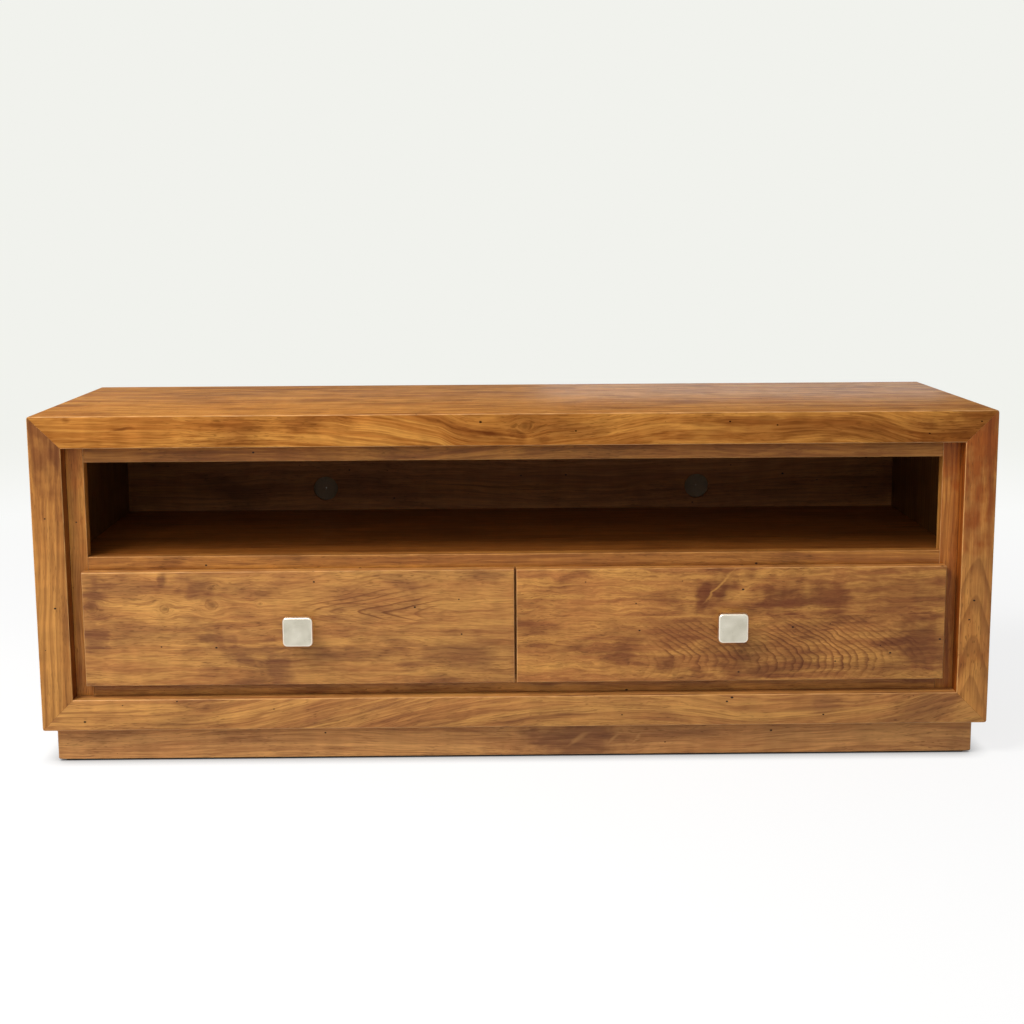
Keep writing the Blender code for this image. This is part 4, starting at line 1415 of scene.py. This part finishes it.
@dataclass
class Knob:
    """Square knob with a flat face and a soft rim on a round stem."""

    centre: Point
    face: float
    size: float = 0.047
    thickness: float = 0.009
    corner: float = 0.0072
    rim: float = 0.0030
    back_round: float = 0.0008
    dish: float = 0.0002
    stem_radius: float = 0.008
    neck: float = 0.001
    foot_radius: float = 0.0105
    foot_flare: float = 0.005
    length: float = 0.0277
    bore_radius: float = 0.0023
    bore_depth: float = 0.012
    corner_steps: int = 12

    # Loops of the face as shares of its width, and loops of each rounding as shares of a quarter turn.
    FACE_STEPS = (0.04, 0.30, 0.55, 0.75, 0.90, 0.97)
    RIM_STEPS = (0.0, 0.15, 0.30, 0.45, 0.60, 0.80, 1.0)
    BACK_STEPS = (0.0, 0.5, 1.0)
    FOOT_STEPS = (0.3, 0.6, 0.85, 1.0)
    # Corners on the face and at the rim's inner edge, the flatness of the dish, and the last square loop.
    FACE_CORNER = 0.7
    RIM_CORNER = 0.4
    DISH_POWER = 4
    BACK_SHARE = 0.6

    def square(self, size: float, corner: float, back: float) -> list[Triple]:
        """A rounded square loop, set back from the face.

        Args:
            size: Width across the flats.
            corner: Corner radius.
            back: Distance behind the knob's face.

        Returns:
            Points round the loop, corner after corner.
        """
        points = []
        reach = size / 2 - corner
        for quarter in range(4):
            middle = QUARTER_TURN * (quarter + 0.5)
            x = self.centre[0] + math.copysign(reach, math.cos(middle))
            z = self.centre[1] + math.copysign(reach, math.sin(middle))
            for i in range(self.corner_steps + 1):
                a = quarter * QUARTER_TURN + QUARTER_TURN * i / self.corner_steps
                points.append((x + corner * math.cos(a), self.face + back, z + corner * math.sin(a)))
        return points

    def round(self, radius: float, back: float) -> list[Triple]:
        """A round loop with the same number of points as a square one.

        Args:
            radius: Radius of the loop.
            back: Distance behind the knob's face.

        Returns:
            Points round the loop.
        """
        count = 4 * (self.corner_steps + 1)
        turn = QUARTER_TURN / 2 / (self.corner_steps + 1)
        x, z = self.centre
        return [(x + radius * math.cos(a), self.face + back, z + radius * math.sin(a))
                for a in (2 * math.pi * i / count + turn for i in range(count))]

    def mesh(self, name: str) -> bpy.types.Mesh:
        """Loft the knob from its face to its foot.

        Args:
            name: Name of the mesh.

        Returns:
            The knob in place.
        """
        inner = self.size - 2 * self.rim
        loops = []
        for share in self.FACE_STEPS:
            loops.append(self.square(inner * share, self.corner * self.FACE_CORNER * share,
                                     self.dish * (1 - share ** self.DISH_POWER)))
        for share in self.RIM_STEPS:
            a = share * QUARTER_TURN
            loops.append(self.square(inner + 2 * self.rim * math.sin(a),
                                     self.corner - self.RIM_CORNER * self.rim * (1 - math.sin(a)),
                                     self.rim * (1 - math.cos(a))))
        for share in self.BACK_STEPS:
            a = share * QUARTER_TURN
            loops.append(self.square(self.size - 2 * self.back_round * (1 - math.cos(a)), self.corner,
                                     self.thickness - self.back_round * (1 - math.sin(a))))
        loops.append(self.square(self.size * self.BACK_SHARE, self.corner, self.thickness))
        loops.append(self.round(self.stem_radius + self.neck, self.thickness))
        loops.append(self.round(self.stem_radius, self.thickness + self.neck))
        flare = self.length - self.foot_flare
        loops.append(self.round(self.stem_radius, flare))
        for share in self.FOOT_STEPS:
            rise = 1 - math.cos(share * QUARTER_TURN)
            loops.append(self.round(self.stem_radius + (self.foot_radius - self.stem_radius) * rise,
                                    flare + share * (self.length - self.back_round - flare)))
        loops.append(self.round(self.foot_radius, self.length))
        loops.append(self.round(self.bore_radius, self.length))
        loops.append(self.round(self.bore_radius, self.length - self.bore_depth))
        return loft(name, loops)


@dataclass
class Drawer(Assembly):
    """One drawer: applied front, knob, dovetailed box and its slides."""

    side: str
    front: Pine
    ease: float = 0.0005
    box_ease: float = 0.0003
    slide_ease: float = 0.0002
    slide_wall: float = 0.0012
    # Straw-coloured and matt, with the grain along each board.
    ends: Pine = Pine("pine_box_ends_planed", Grain.WIDE, BARE, seed=31.3, pith=(0.05, 0.10), coat=0.0,
                      patchiness=0.35, shimmer=0.03, roughness=(0.42, 0.58))
    sides: Pine = replace(ends, name="pine_box_sides_planed", grain=Grain.DEEP, seed=33.8)

    # Screws as shares of the length of a slide, and of the width and height of the box front.
    SLIDE_SCREWS = (0.12, 0.48, 0.88)
    FRONT_SCREWS_WIDE = (0.18, 0.82)
    FRONT_SCREWS_TALL = (0.30, 0.75)

    @property
    def body(self) -> str:
        """Body that carries the drawer."""
        return f"{self.side}_drawer"

    def build(self) -> None:
        """Dress the front, box, knob and slides."""
        dress(f"{self.side}_drawer_front", self.body, self.front, Slot.FRONT, self.ease)
        for end in ("front", "back"):
            dress(f"{self.side}_box_{end}", self.body, self.ends, Slot.PLAIN, self.box_ease)
        for flank in ("outer", "inner"):
            dress(f"{self.side}_box_{flank}_side", self.body, self.sides, Slot.PLAIN, self.box_ease)
        dress(f"{self.side}_box_bottom", self.body, SHEET, Slot.SHEET, self.box_ease)
        low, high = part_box(f"{self.side}_knob")
        knob = Knob(((low.x + high.x) / 2, (low.z + high.z) / 2), low.y)
        name = f"{self.side}_knob_finished"
        piece(name, knob.mesh(name), self.body, NICKEL, Slot.NICKEL, f"{self.side}_knob")
        coat_node(f"{self.side}_knob_screw", ZINC)
        for flank in ("outer", "inner"):
            for member, body in (("cabinet", "cabinet"), ("middle", f"{self.side}_carriage"),
                                 ("drawer", self.body)):
                dress(f"{self.side}_{flank}_slide_{member}", body, ZINC, Slot.ZINC, self.slide_ease)

    def screws(self, fixed: ScrewSet, moving: ScrewSet) -> None:
        """Note the screws of the slides, and those that hold the front from inside the box.

        Args:
            fixed: Screws of the cabinet.
            moving: Screws of this drawer.
        """
        for flank in ("outer", "inner"):
            low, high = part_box(f"{self.side}_{flank}_slide_cabinet")
            inner_low, inner_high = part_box(f"{self.side}_{flank}_slide_drawer")
            z = (low.z + high.z) / 2
            out = 1.0 if (inner_low.x + inner_high.x) > (low.x + high.x) else -1.0
            web = (low.x if out > 0 else high.x) + out * self.slide_wall
            skin = (inner_high.x if out > 0 else inner_low.x) - out * self.slide_wall
            for share in self.SLIDE_SCREWS:
                y = low.y + (high.y - low.y) * share
                fixed.put((web, y, z), (0.0, out * QUARTER_TURN, 0.0))
                moving.put((skin, y, z), (0.0, -out * QUARTER_TURN, 0.0))
        low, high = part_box(f"{self.side}_box_front")
        for wide in self.FRONT_SCREWS_WIDE:
            for tall in self.FRONT_SCREWS_TALL:
                x = low.x + (high.x - low.x) * wide
                moving.put((x, high.y, low.z + (high.z - low.z) * tall), REARWARD)


@dataclass(frozen=True)
class Lamp:
    """Soft rectangular lamp: where it hangs, what it faces, its width and height, power in watts and tint."""

    name: str
    place: Triple
    aim: Triple
    size: Point
    power: float
    tint: str

    def hang(self) -> None:
        """Put the lamp in the scene, out of the camera's sight."""
        data = bpy.data.lights.new(self.name, "AREA")
        data.shape = "RECTANGLE"
        data.size, data.size_y = self.size
        data.energy = self.power
        data.color = linear(self.tint)[:3]
        obj = placed(self.name, data)
        obj.location = self.place
        obj.rotation_euler = (Vector(self.aim) - Vector(self.place)).to_track_quat("-Z", "Y").to_euler()
        obj.visible_camera = False


@dataclass
class Studio(Assembly):
    """Pale floor, soft lamps and the camera."""

    floor_radius: float = 40.0
    floor_sides: int = 96
    near_floor: str = "#ffffff"
    far_floor: str = "#f1f2ed"
    floor_paint: str = "#7d8186"
    floor_bounce: str = "#d8d8d7"
    floor_glow: float = 0.81
    paling: Point = (0.8, 5.0)
    shadow_end: Point = (1.3, 2.6)
    # Reach of the painted contact shadow round the object, in metres.
    painted_shadow_reach: float = 0.035
    room_tint: str = "#fff8ee"
    room_strength: float = 0.21
    lens: float = 58.635
    sensor: float = 36.0
    sight: float = 100.0
    eye: Triple = (-0.034796, -2.795844, 0.829448)
    tilt: Triple = (-0.1659, 0.0058, -0.0118)
    lamps: tuple[Lamp, ...] = (
        Lamp("key", (-1.9, -1.7, 3.0), (-0.1, -0.2, 0.3), (1.6, 1.2), 120.0, "#fff6ea"),
        Lamp("fill", (-0.7, -3.3, 1.9), (-0.1, -0.2, 0.3), (2.2, 1.2), 26.0, "#fff6ea"),
        Lamp("rim", (0.87, 3.0, 0.87), (0.60, 0.0, 0.70), (1.46, 0.5), 8.0, "#ffffff"))

    def camera(self) -> None:
        """Place the camera where the photograph was taken from."""
        data = bpy.data.cameras.new("camera")
        data.lens = self.lens
        data.sensor_width = self.sensor
        data.clip_end = self.sight
        obj = placed("camera", data)
        rx, ry, rz = self.tilt
        turn = Matrix.Rotation(rz, 3, "Z") @ Matrix.Rotation(rx, 3, "X") @ Matrix.Rotation(ry, 3, "Y")
        right, ahead, up = turn.col
        facing = Matrix((right, up, -ahead)).transposed()
        obj.matrix_world = Matrix.Translation(self.eye) @ facing.to_4x4()
        bpy.context.scene.camera = obj

    def shown(self, tree: Tree) -> Socket:
        """Add the test for rays that show the background: seen straight, in gloss or through glass.

        Args:
            tree: Node tree of the floor or the world.

        Returns:
            One for such a ray, zero for a ray that lights something.
        """
        path = add(tree, "ShaderNodeLightPath").outputs
        seen = path["Is Camera Ray"]
        for kind in ("Is Glossy Ray", "Is Transmission Ray"):
            seen = add(tree, "ShaderNodeMath", (seen, path[kind]), operation="MAXIMUM").outputs[0]
        return seen

    def floor(self) -> None:
        """Lay the floor: white near the object, paling into the background, with the object's shadow and a
        painted contact shadow.
        """
        mesh = bpy.data.meshes.new("floor")
        bm = bmesh.new()
        bmesh.ops.create_circle(bm, cap_ends=True, segments=self.floor_sides, radius=self.floor_radius)
        bm.to_mesh(mesh)
        bm.free()
        obj = placed("floor", mesh)
        # Matt paint with a glow of its own: white to the eye, darker in the shadow close to the object; there
        # the glow is dimmed by ambient occlusion, a painted contact shadow.
        material = bpy.data.materials.new("painted_floor_matt")
        material.use_nodes = True
        tree = material.node_tree
        tree.nodes.clear()
        where = add(tree, "ShaderNodeTexCoord").outputs["Object"]
        reach = add(tree, "ShaderNodeVectorMath", (where,), operation="LENGTH").outputs["Value"]
        away = add(tree, "ShaderNodeMapRange", (reach, *self.paling, 0.0, 1.0),
                   interpolation_type="SMOOTHERSTEP").outputs[0]
        colour = add(tree, "ShaderNodeMix", {0: away, 6: linear(self.near_floor), 7: linear(self.far_floor)},
                     data_type="RGBA").outputs[2]
        matt = add(tree, "ShaderNodeBsdfDiffuse", {"Color": linear(self.floor_paint)}).outputs[0]
        glow_in_painted_shadow = add(tree, "ShaderNodeAmbientOcclusion", {"Distance": self.painted_shadow_reach}).outputs["AO"]
        glow_in_painted_shadow = add(tree, "ShaderNodeMath", (glow_in_painted_shadow, self.floor_glow), operation="MULTIPLY").outputs[0]
        glow = add(tree, "ShaderNodeEmission", {"Color": colour, "Strength": glow_in_painted_shadow}).outputs[0]
        near = add(tree, "ShaderNodeAddShader", (matt, glow)).outputs[0]
        far = add(tree, "ShaderNodeEmission", {"Color": colour, "Strength": 1.0}).outputs[0]
        fade = add(tree, "ShaderNodeMapRange", (reach, *self.shadow_end, 0.0, 1.0)).outputs[0]
        seen = add(tree, "ShaderNodeMixShader", (fade, near, far)).outputs[0]
        bounce = add(tree, "ShaderNodeBsdfDiffuse", {"Color": linear(self.floor_bounce)}).outputs[0]
        both = add(tree, "ShaderNodeMixShader", (self.shown(tree), bounce, seen)).outputs[0]
        add(tree, "ShaderNodeOutputMaterial", {"Surface": both})
        mesh.materials.append(material)

    def world(self) -> None:
        """Light the room evenly, and show the background's own colour."""
        world = bpy.data.worlds.new("studio")
        world.use_nodes = True
        tree = world.node_tree
        tree.nodes.clear()
        room = add(tree, "ShaderNodeBackground",
                   {"Color": linear(self.room_tint), "Strength": self.room_strength}).outputs[0]
        wall = add(tree, "ShaderNodeBackground",
                   {"Color": linear(self.far_floor), "Strength": 1.0}).outputs[0]
        both = add(tree, "ShaderNodeMixShader", (self.shown(tree), room, wall)).outputs[0]
        add(tree, "ShaderNodeOutputWorld", {"Surface": both})
        bpy.context.scene.world = world

    def build(self) -> None:
        """Set up the camera, the floor, the world and the lamps."""
        self.camera()
        self.floor()
        self.world()
        for lamp in self.lamps:
            lamp.hang()
        bpy.context.scene.view_settings.view_transform = "Standard"
        log.info("studio is set")


# Two glued boards: dark patches and small knots on the left, narrow arches and calmer wood on the right.
LEFT_FRONT = Pine(
    "pine_left_drawer_front_lacquered", Grain.WIDE, HONEY, seed=40.2, pith=(0.2507, -0.219),
    corner=(-0.679, 0.126), ring_spacing=0.0085, late_share=0.32, ring_depth=0.30, wander=0.010, sway=0.011,
    ripple=0.008, stretch=0.42, vigour=0.80, patchiness=0.70, arches=Arches(0.34, 0.57, -0.050),
    seams=(Seam(0.060),), figures=(Patch(0.465, 0.1240, 0.125, 0.028, 1.0),),
    knots=(Knot(0.013, 0.126, 0.007), Knot(0.202, 0.158, 0.004), Knot(0.202, 0.130, 0.007),
           Knot(0.127, 0.123, 0.005), Knot(0.278, 0.131, 0.003)),
    patches=(Patch(0.020, 0.152, 0.028, 0.040), Patch(0.185, 0.162, 0.042, 0.026, 0.80),
             Patch(0.127, 0.172, 0.008, 0.016), Patch(0.018, 0.076, 0.026, 0.028),
             Patch(0.198, 0.079, 0.034, 0.018), Patch(0.250, 0.044, 0.030, 0.022),
             Patch(0.298, 0.030, 0.040, 0.038), Patch(0.420, 0.049, 0.090, 0.014, 0.6),
             Patch(0.596, 0.046, 0.080, 0.036, 0.6), Patch(0.630, 0.174, 0.040, 0.008, 0.6),
             Patch(0.060, 0.100, 0.040, 0.014, 0.45), Patch(0.400, 0.150, 0.120, 0.016, 0.30)))
# Two glued boards: a dark flame with pale rays above the knob, and wide feathered arches to its right.
RIGHT_FRONT = Pine(
    "pine_right_drawer_front_lacquered", Grain.WIDE, RUSSET, seed=44.9, pith=(0.168, -0.194),
    corner=(0.0017, 0.126), ring_spacing=0.0072, late_share=0.50, ring_depth=0.25, wander=0.014, sway=0.008,
    ripple=0.008, feather=0.009, stretch=0.42, vigour=0.80, patchiness=0.75, arches=Arches(0.20, 0.66, 0.253),
    seams=(Seam(0.106, other_below=False),),
    figures=(Patch(0.300, 0.060, 0.090, 0.046, 0.95), Patch(0.480, 0.054, 0.160, 0.052, 1.0)),
    patches=(Patch(0.315, 0.150, 0.052, 0.034, 0.80, 1.0), Patch(0.296, 0.140, 0.042, 0.016, 1.0, 1.2),
             Patch(0.326, 0.146, 0.036, 0.020, 1.0, 0.75), Patch(0.368, 0.170, 0.020, 0.012, 0.80),
             Patch(0.345, 0.030, 0.036, 0.042, 0.75), Patch(0.255, 0.082, 0.060, 0.026, 0.55),
             Patch(0.257, 0.119, 0.018, 0.012, 0.60), Patch(0.450, 0.132, 0.095, 0.032, 0.95),
             Patch(0.610, 0.140, 0.090, 0.040, 0.65), Patch(0.638, 0.060, 0.054, 0.055, 0.85),
             Patch(0.240, 0.030, 0.018, 0.016), Patch(0.284, 0.015, 0.018, 0.010, 0.7),
             Patch(0.400, 0.016, 0.080, 0.012, 0.75)),
    rays=(Patch(0.320, 0.156, 0.040, 0.0024, 0.70, 0.85), Patch(0.353, 0.143, 0.024, 0.0030, 0.60, 0.75)))


def main() -> None:
    """Build the studio and every assembly in order."""
    logging.basicConfig(level=logging.INFO, format="%(message)s")
    Studio().build()
    bay = Bay()
    drawers = [Drawer("left", LEFT_FRONT), Drawer("right", RIGHT_FRONT)]
    for assembly in (Case(), FaceFrame(), bay, Plinth(), *drawers):
        assembly.build()
    fixed = ScrewSet("cabinet")
    bay.screws(fixed)
    for drawer in drawers:
        moving = ScrewSet(drawer.body)
        drawer.screws(fixed, moving)
        moving.build()
    fixed.build()


if __name__ == "__main__":
    main()
